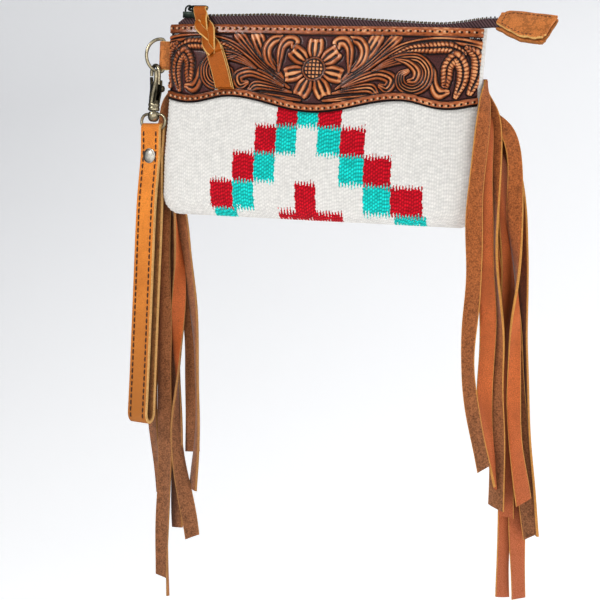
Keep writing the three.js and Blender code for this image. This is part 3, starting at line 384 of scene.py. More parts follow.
def arc(start, end, count, radius_a=1.0, radius_b=1.0):
    """Points in a plane at even turns, from one angle to another."""
    turns = np.radians(np.linspace(start, end, count))
    return np.stack([radius_a * np.cos(turns), radius_b * np.sin(turns)], -1)


def path_length(points):
    return np.concatenate([[0], np.cumsum(np.linalg.norm(np.diff(points, axis=0), axis=1))])


def rows_at(places, reach, values):
    """Rows of a table of points or directions at places along a line."""
    return np.stack([np.interp(places, reach, column) for column in values.T], -1)


def bell(gap, width, power=2):
    """1 where a gap is nothing, falling away over a width."""
    return np.exp(-((gap / width) ** power))


def hashed(values):
    """Scattered numbers from 0 to 1, the same each time."""
    return np.modf(np.abs(np.sin(values * 12.9898) * 43758.5453))[0]


# Meshes

def strip_section(width, thickness, bevel, cup):
    """Across and out values of a strip's ring. Its sides have the finishes of STRIP_SIDES."""
    w, t = width / 2, thickness / 2
    across = np.linspace(bevel - w, w - bevel, 5)
    bow = cup * (1 - (across / w) ** 2)
    front = np.stack([across, bow + t], -1)
    back = np.stack([across, bow - t], -1)[::-1]
    right = ((w, t - bevel), (w, bevel - t))
    left = ((-w, bevel - t), (-w, t - bevel))
    return np.vstack([front, right, back, left])


# Finishes round a strip: 0 grain, 1 flesh, 2 edge
STRIP_SIDES = [0] * 4 + [2] * 3 + [1] * 4 + [2] * 3
# Height of a normal below which a plate's edge looks down, and the share along the plate's offset above which
# a face is one of its two sides
LOOKS_DOWN = -0.5
LOOKS_ALONG = 0.8


class Shape:
    """Points and faces gathered for one piece, in millimetres, with a finish number on each face."""

    def __init__(self):
        self.points, self.faces, self.finishes = [], [], []

    def add(self, points, faces, finishes):
        first = len(self.points)
        self.points.extend(np.asarray(points, float).reshape(-1, 3).tolist())
        self.faces.extend([[int(i) + first for i in face] for face in faces])
        self.finishes.extend(finishes)

    def grid(self, points, finish=0):
        """A sheet over a grid of points."""
        faces = grid_faces(*points.shape[:2])
        self.add(points, faces, [finish] * len(faces))

    def loft(self, rings, joined=False, finishes=0):
        """A skin over closed rings, capped or joined end to end, with one finish or one for each side."""
        rings = np.asarray(rings, float)
        count, size = rings.shape[:2]
        sides = [finishes] * size if isinstance(finishes, int) else finishes
        faces, numbers = [], []
        for k in range(count if joined else count - 1):
            here, after = k * size, ((k + 1) % count) * size
            for i in range(size):
                j = (i + 1) % size
                faces.append((here + i, here + j, after + j, after + i))
                numbers.append(sides[i])
        if not joined:
            faces += [range(size)[::-1], range((count - 1) * size, count * size)]
            numbers += [sides[1], sides[1]]
        self.add(rings, faces, numbers)

    def strip(self, line, across, out, widths, thickness, bevel, cups=0.0, slant=0.0, joined=False):
        """A strip of leather along a line, from the directions across and out, with a slanting end."""
        across, out = (np.broadcast_to(way, line.shape) for way in (across, out))
        widths, cups = (np.broadcast_to(size, len(line)) for size in (widths, cups))
        rings = []
        for point, a, o, width, cup in zip(line, across, out, widths, cups):
            section = strip_section(width, thickness, bevel, cup)
            rings.append(point + section[:, :1] * a + section[:, 1:] * o)
        ahead = slant * ((rings[-1] - line[-1]) @ across[-1])
        rings[-1] = rings[-1] + ahead[:, None] * unit(line[-1] - line[-2])
        self.loft(rings, joined, STRIP_SIDES)

    def tube(self, points, radius, sides=14, joined=False):
        """A round wire along a line of points, with one radius or one for each point."""
        points = np.asarray(points, float)
        radii = np.broadcast_to(np.asarray(radius, float), (len(points),))
        tangent = tangents(points, joined)
        side = unit(np.cross(tangent, np.linalg.svd(points - points.mean(0))[2][-1]))
        over = np.cross(side, tangent)
        c, s = circle(sides)
        self.loft(points[:, None] + radii[:, None, None] * (side[:, None] * c + over[:, None] * s), joined)

    def lathe(self, profile, origin, axis, sides=28):
        """A turned form: a row of (radius, height) pairs round an axis."""
        axis = unit(axis)
        first = unit(np.cross(axis, UP if abs(axis[2]) < 0.9 else X))
        c, s = circle(sides)
        rim = c * first + s * np.cross(axis, first)
        origin = np.asarray(origin)
        self.loft([origin + height * axis + max(radius, 0.02) * rim for radius, height in profile])

    def prism(self, outline, offset, width, finish=0, edges=None):
        """A plate: an outline carried along an offset, with rounded edges. Its edges can have two finishes of
        their own, one for those that look down and one for the others."""
        near = np.asarray(outline, float)
        n = len(near)
        made = bmesh.new()
        corners = [made.verts.new(p) for p in np.vstack([near, near + offset])]
        faces = [range(n), range(2 * n - 1, n - 1, -1)]
        faces += [(i, n + i, n + (i + 1) % n, (i + 1) % n) for i in range(n)]
        for face in faces:
            made.faces.new([corners[i] for i in face])
        bmesh.ops.recalc_face_normals(made, faces=made.faces)
        bmesh.ops.bevel(made, geom=made.edges[:], offset=width, segments=2, affect="EDGES", profile=0.5)
        made.verts.index_update()
        way = Vector(offset).normalized()
        down, other = edges or (finish, finish)
        finishes = []
        for face in made.faces:
            edge = down if face.normal.z < LOOKS_DOWN else other
            finishes.append(finish if abs(face.normal.dot(way)) > LOOKS_ALONG else edge)
        self.add([v.co[:] for v in made.verts], [[v.index for v in f.verts] for f in made.faces], finishes)
        made.free()

    def block(self, low, high, width):
        """A box between two corners with rounded edges."""
        (x0, y0, z0), (x1, y1, z1) = low, high
        self.prism([(x0, y0, z0), (x1, y0, z0), (x1, y0, z1), (x0, y0, z1)], (0, y1 - y0, 0), width)

    def piece(self, name, body, materials, replaces=(), facing=True, crease=None):
        """The finished object, riding on its body."""
        mesh = bpy.data.meshes.new(name)
        mesh.from_pydata((np.array(self.points) * MM).tolist(), [], self.faces)
        for material in materials:
            mesh.materials.append(material)
        mesh.polygons.foreach_set("material_index", self.finishes)
        if facing:
            made = bmesh.new()
            made.from_mesh(mesh)
            bmesh.ops.recalc_face_normals(made, faces=made.faces)
            made.to_mesh(mesh)
            made.free()
        mesh.shade_smooth()
        if crease:
            mesh.set_sharp_from_angle(angle=math.radians(crease))
        mesh.update()
        obj = linked(name, mesh)
        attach(obj, body)
        if replaces:
            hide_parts(*replaces)
        return obj


def linked(name, data):
    """A new object in the scene."""
    obj = bpy.data.objects.new(name, data)
    bpy.context.scene.collection.objects.link(obj)
    return obj


def circle(sides):
    """Cosines and sines at even turns round a circle, as columns."""
    turn = np.linspace(0, 2 * math.pi, sides, endpoint=False)[:, None]
    return np.cos(turn), np.sin(turn)


def grid_faces(rows, columns):
    i = np.arange(rows - 1)[:, None] * columns + np.arange(columns - 1)[None, :]
    return np.stack([i, i + columns, i + columns + 1, i + 1], -1).reshape(-1, 4)


def surface_normals(grid):
    """Unit normals of a grid of points."""
    return unit(np.cross(np.gradient(grid, axis=0), np.gradient(grid, axis=1)))


def set_values(obj, name, values, domain):
    """A named number on each point or face, for the material to read."""
    attribute = obj.data.attributes.new(name, "FLOAT", domain)
    attribute.data.foreach_set("value", np.ascontiguousarray(values, np.float32).ravel())


# Surfaces of the pouch

def fullness(share):
    """Distance of the wall from the seam plane, as a share of the half depth."""
    return np.sqrt(np.maximum(1 - np.abs(share) ** POUCH.squareness, 0))


def on_pouch(share, z, inset, side):
    """Points of the pouch's upper wall at shares of its half width, moved in by an inset."""
    y = side * (POUCH.seam_gap + (along(POUCH_DEPTHS, z) - inset) * fullness(share))
    return xyz((along(POUCH_WIDTHS, z) - inset) * share, y, z)


def panel_rows(count):
    """Even steps down the middle of a panel: height, half width and half depth of each."""
    z = np.linspace(POUCH_TOP, POUCH.roll_top, POUCH.steps)
    width, depth = along(POUCH_WIDTHS, z), along(POUCH_DEPTHS, z)
    angle = np.linspace(0, math.pi / 2, POUCH.roll_steps)[1:]
    low = POUCH.roll_top - (POUCH.roll_top - POUCH_BOTTOM) * np.sin(angle)
    below = np.maximum(POUCH_BOTTOM + POUCH.corner - low, 0)
    pulled = POUCH.corner - np.sqrt(np.maximum(POUCH.corner ** 2 - below**2, 0))
    z = np.concatenate([z, low])
    width = np.concatenate([width, width[-1] - pulled])
    depth = np.concatenate([depth, depth[-1] * np.cos(angle)])
    length = path_length(np.stack([depth, z], -1))
    even = np.linspace(0, length[-1], count + 1)
    return [np.interp(even, length, column) for column in (z, width, depth)]


def panel_shares(count):
    """Shares of the half width at even steps round a panel."""
    share = np.sin(np.linspace(-math.pi / 2, math.pi / 2, POUCH.round_steps))
    width, depth = POUCH_WIDTHS[1][1], POUCH_DEPTHS[1][1]
    length = path_length(np.stack([width * share, depth * fullness(share)], -1))
    return np.interp(np.linspace(0, length[-1], count + 1), length, share)


def yoke_edge(x):
    """Height of the yoke's scalloped lower edge."""
    out = np.abs(x - YOKE.middle)
    middle = SCALLOP.middle_level - SCALLOP.middle_swing * np.cos(math.pi * out / SCALLOP.middle_half)
    past = math.pi * (out - SCALLOP.middle_half) / SCALLOP.side_half
    return np.where(out < SCALLOP.middle_half, middle, SCALLOP.side_level + SCALLOP.side_swing * np.cos(past))


# Node trees

class Tree:
    """Short calls that build a node tree."""

    def __init__(self, tree):
        self.tree = tree

    def node(self, kind, inputs=None, **settings):
        made = self.tree.nodes.new("ShaderNode" + kind)
        for name, value in settings.items():
            setattr(made, name, value)
        for name, value in (inputs or {}).items():
            self.feed(made.inputs[name], value)
        return made

    def feed(self, socket, value):
        if isinstance(value, bpy.types.NodeSocket):
            self.tree.links.new(value, socket)
        else:
            socket.default_value = value

    def math(self, operation, a, b=0.0):
        return self.node("Math", {0: a, 1: b}, operation=operation).outputs[0]

    def times(self, a, b):
        return self.math("MULTIPLY", a, b)

    def total(self, *shares):
        """Sum of values, each with its share."""
        parts = [self.times(value, share) for value, share in shares]
        result = parts[0]
        for part in parts[1:]:
            result = self.math("ADD", result, part)
        return result

    def blend(self, factor, a, b, how="MIX"):
        return self.node("Mix", {0: factor, 6: a, 7: b}, data_type="RGBA", blend_type=how).outputs[2]

    def tones(self, factor, colour, low, high):
        """From a darker to a lighter version of a colour."""
        return self.blend(factor, shade(colour, low), shade(colour, high))

    def ramp(self, value, stops, how="LINEAR"):
        made = self.node("ValToRGB", {0: value})
        made.color_ramp.interpolation = how
        elements = made.color_ramp.elements
        while len(elements) < len(stops):
            elements.new(0.5)
        for element, (place, colour) in zip(elements, stops):
            element.position = place
            element.color = colour
        return made.outputs[0]

    def spread(self, value, low, high, to_low=0.0, to_high=1.0):
        return self.node("MapRange", {0: value, 1: low, 2: high, 3: to_low, 4: to_high}).outputs[0]

    def between(self, share, low, high):
        return self.spread(share, 0.0, 1.0, low, high)

    def noise(self, vector, scale, detail=4.0, roughness=0.6):
        inputs = {"Vector": vector, "Scale": scale, "Detail": detail, "Roughness": roughness}
        return self.node("TexNoise", inputs).outputs["Fac"]

    def place(self):
        return self.node("TexCoord").outputs["Object"]

    def axes(self):
        return self.node("SeparateXYZ", {"Vector": self.place()}).outputs

    def grey(self, value):
        return self.node("CombineColor", {0: value, 1: value, 2: value}).outputs[0]

    def attribute(self, name):
        return self.node("Attribute", attribute_name=name).outputs["Fac"]

    def bump(self, height, strength, distance):
        inputs = {"Height": height, "Strength": strength, "Distance": distance * MM}
        return self.node("Bump", inputs).outputs["Normal"]


def make_group(build, inputs):
    """The shader node group that a function describes, with named sockets."""
    group = bpy.data.node_groups.new(build.__name__, "ShaderNodeTree")
    for name in inputs:
        kind = "NodeSocketVector" if name == "Place" else "NodeSocketFloat"
        group.interface.new_socket(name=name, in_out="INPUT", socket_type=kind)
    given = group.nodes.new("NodeGroupInput").outputs
    made = build(Tree(group), *[given[name] for name in inputs])
    for name in made:
        group.interface.new_socket(name=name, in_out="OUTPUT", socket_type="NodeSocketFloat")
    taken = group.nodes.new("NodeGroupOutput").inputs
    for name, socket in made.items():
        group.links.new(socket, taken[name])
    return group


def effect(*inputs):
    """Turns a function that describes a node group into one that puts the group, made once, in a tree."""
    def mark(build):
        def use(tree, *values):
            group = bpy.data.node_groups.get(build.__name__) or make_group(build, inputs)
            return tree.node("Group", dict(zip(inputs, values)), node_tree=group).outputs
        return use
    return mark


@effect("Place", "Scale")
def leather_grain(tree, place, scale):
    """Pores and creases of a grain side, and the slow change of its dye."""
    cells = tree.node("TexVoronoi", {"Vector": place, "Scale": scale}, feature="DISTANCE_TO_EDGE")
    pores = tree.spread(cells.outputs["Distance"], 0.0, 0.22)
    fine = tree.noise(place, tree.times(scale, 2.3))
    slow = tree.noise(place, tree.times(scale, 0.06), 6.0, 0.65)
    return {"Height": tree.total((pores, 0.6), (fine, 0.4)), "Mottle": tree.spread(slow, 0.35, 0.65)}


@effect("Reach")
def recess(tree, reach):
    """How open a place is, by ambient occlusion: low in folds and where leather lies close to leather, for
    the painted shade there.
    """
    around = tree.node("AmbientOcclusion", {"Distance": reach}, samples=8)
    return {"Open": tree.spread(around.outputs["AO"], 0.15, 0.8)}


@effect("Place", "Scale")
def suede_nap(tree, place, scale):
    """Short raised fibres of a flesh side, with brushed patches."""
    fibre = tree.noise(place, scale, 8.0, 0.75)
    tuft, brushed = (tree.noise(place, tree.times(scale, share), 5.0, 0.7) for share in (0.22, 0.04))
    tone = tree.total((fibre, 0.72), (tuft, 0.18), (brushed, 0.1))
    return {"Height": tree.total((fibre, 0.5), (tuft, 1.0)), "Tone": tree.spread(tone, 0.4, 0.6)}


@effect("Place", "Scale")
def yarn_fibre(tree, place, scale):
    """Loose fibres of spun yarn."""
    clump = tree.noise(place, tree.times(scale, 0.12), 4.0, 0.6)
    return {"Height": tree.noise(place, scale, 9.0, 0.8), "Tone": tree.spread(clump, 0.32, 0.68)}


@effect("Place", "Scale")
def tarnish(tree, place, scale):
    """Dark patches and fine scratches of antiqued metal."""
    patch = tree.noise(place, scale, 7.0, 0.7)
    fine = tree.noise(place, tree.times(scale, 6.0), 4.0, 0.6)
    return {"Mask": tree.spread(patch, 0.42, 0.66), "Fine": fine}


# Materials

def material(build):
    """Turns a function that gives the values of a shader's sockets into one that makes a material once."""
    def make(name, *values, **options):
        found = bpy.data.materials.get(name)
        if found:
            return found
        made = bpy.data.materials.new(name)
        made.use_nodes = True
        tree = Tree(made.node_tree)
        sockets = made.node_tree.nodes["Principled BSDF"].inputs
        for socket, value in build(tree, *values, **options).items():
            tree.feed(sockets[socket], value)
        return made
    return make


def chosen(name):
    """A colour of the finish by its name."""
    return getattr(bpy.context.scene.clutch_finish, name)[:]


def shade(colour, factor):
    """A darker or lighter version of a colour."""
    return tuple(min(c * factor, 1.0) for c in colour[:3]) + (1.0,)


def lower_tone(tree, tone, colour, level, strongest):
    """A colour that takes over below a height."""
    return tree.blend(tree.spread(tree.axes()["Z"], level - 0.06, level + 0.08, strongest, 0.0), tone, colour)


def dark_folds(tree, tone, colour):
    """A tone with painted shade that darkens it where leather lies close to leather."""
    return tree.blend(recess(tree, FOLD_SHADE.reach)["Open"], shade(colour, FOLD_SHADE.dark), tone)


@material
def grain_leather(tree, dye, roughness=0.52, pores=900.0, depth=0.10, lower=None, wrinkled=False):
    """Smooth dyed leather, with another colour below a height, dark crease lines of painted shade where it
    was folded, and painted shade where leather lies close to leather.
    """
    colour = chosen(dye)
    grain = leather_grain(tree, tree.place(), pores)
    tone = tree.tones(grain["Mottle"], colour, 0.86, 1.16)
    if lower:
        tone = lower_tone(tree, tone, chosen(lower[0]), lower[1], 0.8)
    if wrinkled:
        # Dark crease lines: painted shade of wrinkles, with no relief under them
        crease = tree.math("ABSOLUTE", tree.math("SUBTRACT", tree.noise(tree.place(), 130.0, 7.0, 0.62), 0.5))
        tone = tree.blend(tree.spread(crease, 0.0, 0.05, 0.75, 0.0), tone, shade(colour, 0.3))
    tone = tree.blend(tree.spread(grain["Height"], 0.1, 0.55), shade(colour, 0.55), tone)
    return {
        "Base Color": dark_folds(tree, tone, colour),
        "Roughness": tree.between(grain["Height"], roughness + 0.12, roughness - 0.06),
        "Normal": tree.bump(grain["Height"], 0.35, depth),
        "Specular IOR Level": 0.2,
    }


@material
def suede_leather(tree, dye, lower=None):
    """The flesh side of the leather, with another colour below a height, and painted shade where leather lies
    close to leather.
    """
    colour = chosen(dye)
    nap = suede_nap(tree, tree.place(), 900.0)
    tone = tree.tones(nap["Tone"], colour, 0.4, 1.65)
    if lower:
        tone = lower_tone(tree, tone, tree.tones(nap["Tone"], chosen(lower[0]), 0.4, 1.65), lower[1], 1.0)
    return {
        "Base Color": dark_folds(tree, tone, colour),
        "Roughness": tree.between(nap["Tone"], 0.96, 0.82),
        "Normal": tree.bump(nap["Height"], 0.6, 0.25),
        "Specular IOR Level": 0.2,
        "Sheen Weight": 0.25,
        "Sheen Roughness": 0.5,
    }


@material
def wool_cloth(tree):
    """Woven wool, with the dye of each face, painted shade between the yarns and painted highlight on their
    tops.
    """
    yarn = yarn_fibre(tree, tree.place(), 2600.0)
    dyes = ((0.0, chosen("wool_white")), (0.3, chosen("wool_red")), (0.8, chosen("wool_turquoise")))
    dye = tree.ramp(tree.attribute("dye"), dyes, "CONSTANT")
    dyed = tree.spread(tree.attribute("dye"), 0.0, 0.3)
    # Painted shade between the yarns and painted highlight on their tops, strongest on dyed yarn
    weave_shade_and_highlight = tree.between(tree.attribute("weave"), tree.between(dyed, 0.72, 0.2), tree.between(dyed, 1.08, 1.8))
    tone = tree.times(tree.between(yarn["Tone"], 0.92, 1.08), weave_shade_and_highlight)
    return {
        "Base Color": tree.blend(1.0, dye, tree.grey(tone), "MULTIPLY"),
        "Roughness": tree.between(yarn["Tone"], 0.97, 0.88),
        "Normal": tree.bump(yarn["Height"], 0.5, 0.22),
        "Specular IOR Level": 0.1,
        "Sheen Weight": 0.06,
        "Sheen Roughness": 0.6,
    }


@material
def tooled_leather(tree):
    """Carved and antiqued leather: dark cuts, matted ground and rubbed tops whose lightest crests are partly
    painted highlight, with painted shade towards the yoke's left end and a little painted light towards its
    right end.
    """
    grain = leather_grain(tree, tree.place(), 1300.0)
    ground = tree.attribute("ground")
    # The worn tone, with painted shade at the yoke's left end and a little painted light at its right end
    worn = tree.math("ADD", tree.attribute("tone"), tree.spread(tree.axes()["X"], -0.1, 0.0, -0.14, 0.03))
    mottled = tree.math("ADD", worn, tree.between(grain["Mottle"], -0.14, 0.14))
    top = chosen("tooled_raised")
    # The last stop is the crest colour of the rubbed tops, partly a painted highlight
    stops = ((0.15, shade(top, 0.1)), (0.5, shade(top, 0.5)), (0.74, top), (0.95, chosen("tooled_crest")))
    matted = tree.node("TexVoronoi", {"Vector": tree.place(), "Scale": 1100.0})
    pits = tree.spread(matted.outputs["Distance"], 0.1, 0.7)
    floor = tree.tones(pits, chosen("tooled_ground"), 0.35, 1.25)
    colour = tree.blend(ground, tree.ramp(mottled, stops), floor)
    colour = tree.blend(tree.spread(tree.attribute("cut"), 0.12, 0.6), colour, chosen("tooled_cut"))
    return {
        "Base Color": tree.blend(tree.attribute("thread"), colour, chosen("thread_light")),
        "Roughness": tree.math("ADD", tree.between(grain["Mottle"], 0.24, 0.36), tree.times(ground, 0.35)),
        "Normal": tree.bump(tree.total((grain["Height"], 0.3), (pits, ground)), 0.4, 0.14),
        "Specular IOR Level": 0.24,
        "Coat Weight": 0.3,
        "Coat Roughness": 0.22,
    }


@material
def cut_edge(tree, dye):
    """The raw cut edge of leather, pale and layered."""
    nap = suede_nap(tree, tree.place(), 1600.0)
    return {
        "Base Color": tree.tones(nap["Tone"], chosen(dye), 0.62, 1.25),
        "Roughness": tree.between(nap["Tone"], 0.92, 0.78),
        "Normal": tree.bump(nap["Height"], 0.5, 0.2),
        "Specular IOR Level": 0.2,
    }


@material
def antique_metal(tree, dye, roughness, worn, metallic):
    """Plated metal with dark patches left in its low places, duller where the plating is matt, and painted
    shade that darkens it where its surface turns away from the view.
    """
    colour = chosen(dye)
    patina = tarnish(tree, tree.place(), 420.0)
    # Painted shade towards the edges as seen from the view, standing in for dark reflections
    painted_edge_shade = tree.spread(tree.node("LayerWeight", {"Blend": 0.5}).outputs["Facing"], 0.1, 0.5)
    plated = tree.tones(patina["Mask"], colour, worn, 0.45 * worn)
    return {
        "Base Color": tree.blend(painted_edge_shade, plated, shade(colour, 0.05 * worn)),
        "Metallic": metallic,
        "Roughness": tree.spread(patina["Fine"], 0.3, 0.7, roughness, roughness + 0.2),
        "Normal": tree.bump(patina["Fine"], 0.12, 0.08),
    }


@material
def twill(tree):
    """Brown zip tape with slanting twill lines."""
    turned = {"Vector": tree.place(), "Rotation": (0.0, math.radians(40), 0.0)}
    slanting = tree.node("Mapping", turned).outputs[0]
    lines = tree.node("TexWave", {"Vector": slanting, "Scale": 185.0, "Distortion": 0.4, "Detail": 1.0})
    yarn = yarn_fibre(tree, tree.place(), 3000.0)
    height = tree.total((lines.outputs["Fac"], 0.7), (yarn["Height"], 0.3))
    return {
        "Base Color": tree.tones(tree.spread(height, 0.2, 0.8), chosen("zip_tape"), 0.45, 1.75),
        "Roughness": tree.between(yarn["Tone"], 0.92, 0.78),
        "Normal": tree.bump(height, 0.6, 0.16),
        "Specular IOR Level": 0.25,
    }


@material
def waxed_thread(tree, dye):
    """Waxed thread with its twist."""
    yarn = yarn_fibre(tree, tree.place(), 4200.0)
    return {
        "Base Color": tree.tones(yarn["Tone"], chosen(dye), 0.7, 1.3),
        "Roughness": tree.between(yarn["Tone"], 0.7, 0.5),
        "Normal": tree.bump(yarn["Height"], 0.5, 0.1),
    }


@material
def matt_paper(tree):
    """Pale matt paper that glows with painted light, more near the floor."""
    tone = tree.noise(tree.place(), 3.0, 3.0, 0.5)
    axes = tree.axes()
    level = tree.math("ADD", axes["Z"], tree.times(axes["X"], -0.25))
    return {
        "Base Color": tree.tones(tone, chosen("paper"), 0.98, 1.02),
        "Roughness": tree.between(tone, 0.8, 0.9),
        # Painted light: the paper glows, most near the floor
        "Emission Color": tree.grey(tree.spread(level, FLOOR.z, 0.3, 1.0, 0.27)),
        "Emission Strength": 0.52,
    }


def tan_finishes(grain, edge="tan_edge", **options):
    """Grain, flesh and cut edge of the tan leather, by the names of its colours."""
    flesh = suede_leather("tan_flesh_side", "tan_flesh")
    return [grain_leather(grain + "_side", grain, **options), flesh, cut_edge(edge + "_cut", edge)]


def fringe_finishes(suede, edge):
    """Grain, flesh and cut edge of the fringe, duller low down."""
    return [
        grain_leather("fringe_grain_side", "fringe_grain", 0.55, 800.0, 0.14, ("fringe_faded", STRIP.faded)),
        suede_leather(suede + "_side", suede, ("fringe_dull", STRIP.dull)),
        cut_edge(edge + "_cut", edge),
    ]


def metals(*names):
    return [antique_metal(name, *METALS[name]) for name in names]


def dark_thread():
    return [waxed_thread("dark_thread", "thread_dark")]


# Pieces of the pouch

def wool_dye(x, z):
    """Dye number at places of the panel, with combed edges between the rows of blocks."""
    tooth = x / WEAVE.comb_pitch
    uneven = hashed(np.floor(tooth) + WEAVE.row_key * np.round(z / WEAVE.row_height))
    swing = (np.abs(tooth % 1.0 - 0.5) * 4 - 1) * (WEAVE.comb_least + WEAVE.comb_range * uneven)
    jog = hashed(np.floor(z / WEAVE.jog_height)) - 0.5
    x = x + WEAVE.waver * np.sin(WEAVE.waver_rate * z) + WEAVE.jog * jog
    row = np.searchsorted(-np.array(BLOCK_LEVELS), -(z + WEAVE.comb_height * swing))
    column = np.searchsorted(BLOCK_EDGES, x - LOWEST_ROW_SHIFT * (row == len(BLOCK_ROWS)))
    table = np.zeros((len(BLOCK_LEVELS) + 1, len(BLOCK_EDGES) + 1))
    table[1:-1, 1:-1] = [[DYES[mark] for mark in marks] for marks in BLOCK_ROWS]
    return table[row, column]


def yarn_bumps(rows, columns):
    """How far each point of a panel's grid stands out with the yarns, and how it fades at the edges."""
    i, j = np.meshgrid(np.arange(rows + 1), np.arange(columns + 1), indexing="ij")
    yarn = j // WEAVE.columns
    across = (j % WEAVE.columns) / WEAVE.columns - 0.5 + 0.5 / WEAVE.columns
    place = i / WEAVE.rows + 0.5 * (yarn % 2) + WEAVE.scatter * (hashed(yarn) - 0.5)
    down = (place + WEAVE.slant * across) % 1.0 - 0.5
    uneven = WEAVE.thin + (1 - WEAVE.thin) * hashed(yarn + WEAVE.bump_key * np.floor(place))
    edge = np.minimum(np.minimum(j, columns - j), np.minimum(i, rows - i)) / WEAVE.fade
    return (1 - (2 * across) ** 2) * (1 - (2 * down) ** 2) * uneven, edge.clip(0, 1)


def wool_panel(name, node, side, sizes):
    """One half of the pouch with its yarns raised, and the dye and depth of its weave. The back is undyed."""
    columns = WEAVE.columns * round(2 * POUCH_WIDTHS[0][1] / (sizes.yarn_width / MM))
    rows = WEAVE.rows * round(POUCH.length / (sizes.yarn_length / MM))
    z, width, depth = (column[:, None] for column in panel_rows(rows))
    share = panel_shares(columns)
    grid = xyz(width * share, side * (POUCH.seam_gap + depth * fullness(share)), z)
    raised, edge = yarn_bumps(rows, columns)
    height = raised * edge * sizes.yarn_height / MM
    grid = grid + toward(surface_normals(grid), side * Y) * height[..., None]
    shape = Shape()
    shape.grid(grid if side < 0 else grid[:, ::-1])
    obj = shape.piece(name, "pouch", [wool_cloth("woven_wool")], [node], facing=False)
    middle = (grid[:-1, :-1] + grid[1:, 1:]) / 2
    dye = wool_dye(middle[..., 0], middle[..., 2])
    set_values(obj, "dye", dye if side < 0 else 0 * dye, "FACE")
    set_values(obj, "weave", raised if side < 0 else raised[:, ::-1], "POINT")


def nearest_on(line, widths, places):
    """For each place, the nearest point of a line and the gap to the line's edge there."""
    nearest, gap = np.zeros(len(places), int), np.full(len(places), np.inf)
    for k, (point, width) in enumerate(zip(line, widths)):
        here = np.hypot(*(places - point).T) - width
        nearest = np.where(here < gap, k, nearest)
        gap = np.minimum(here, gap)
    return nearest, gap


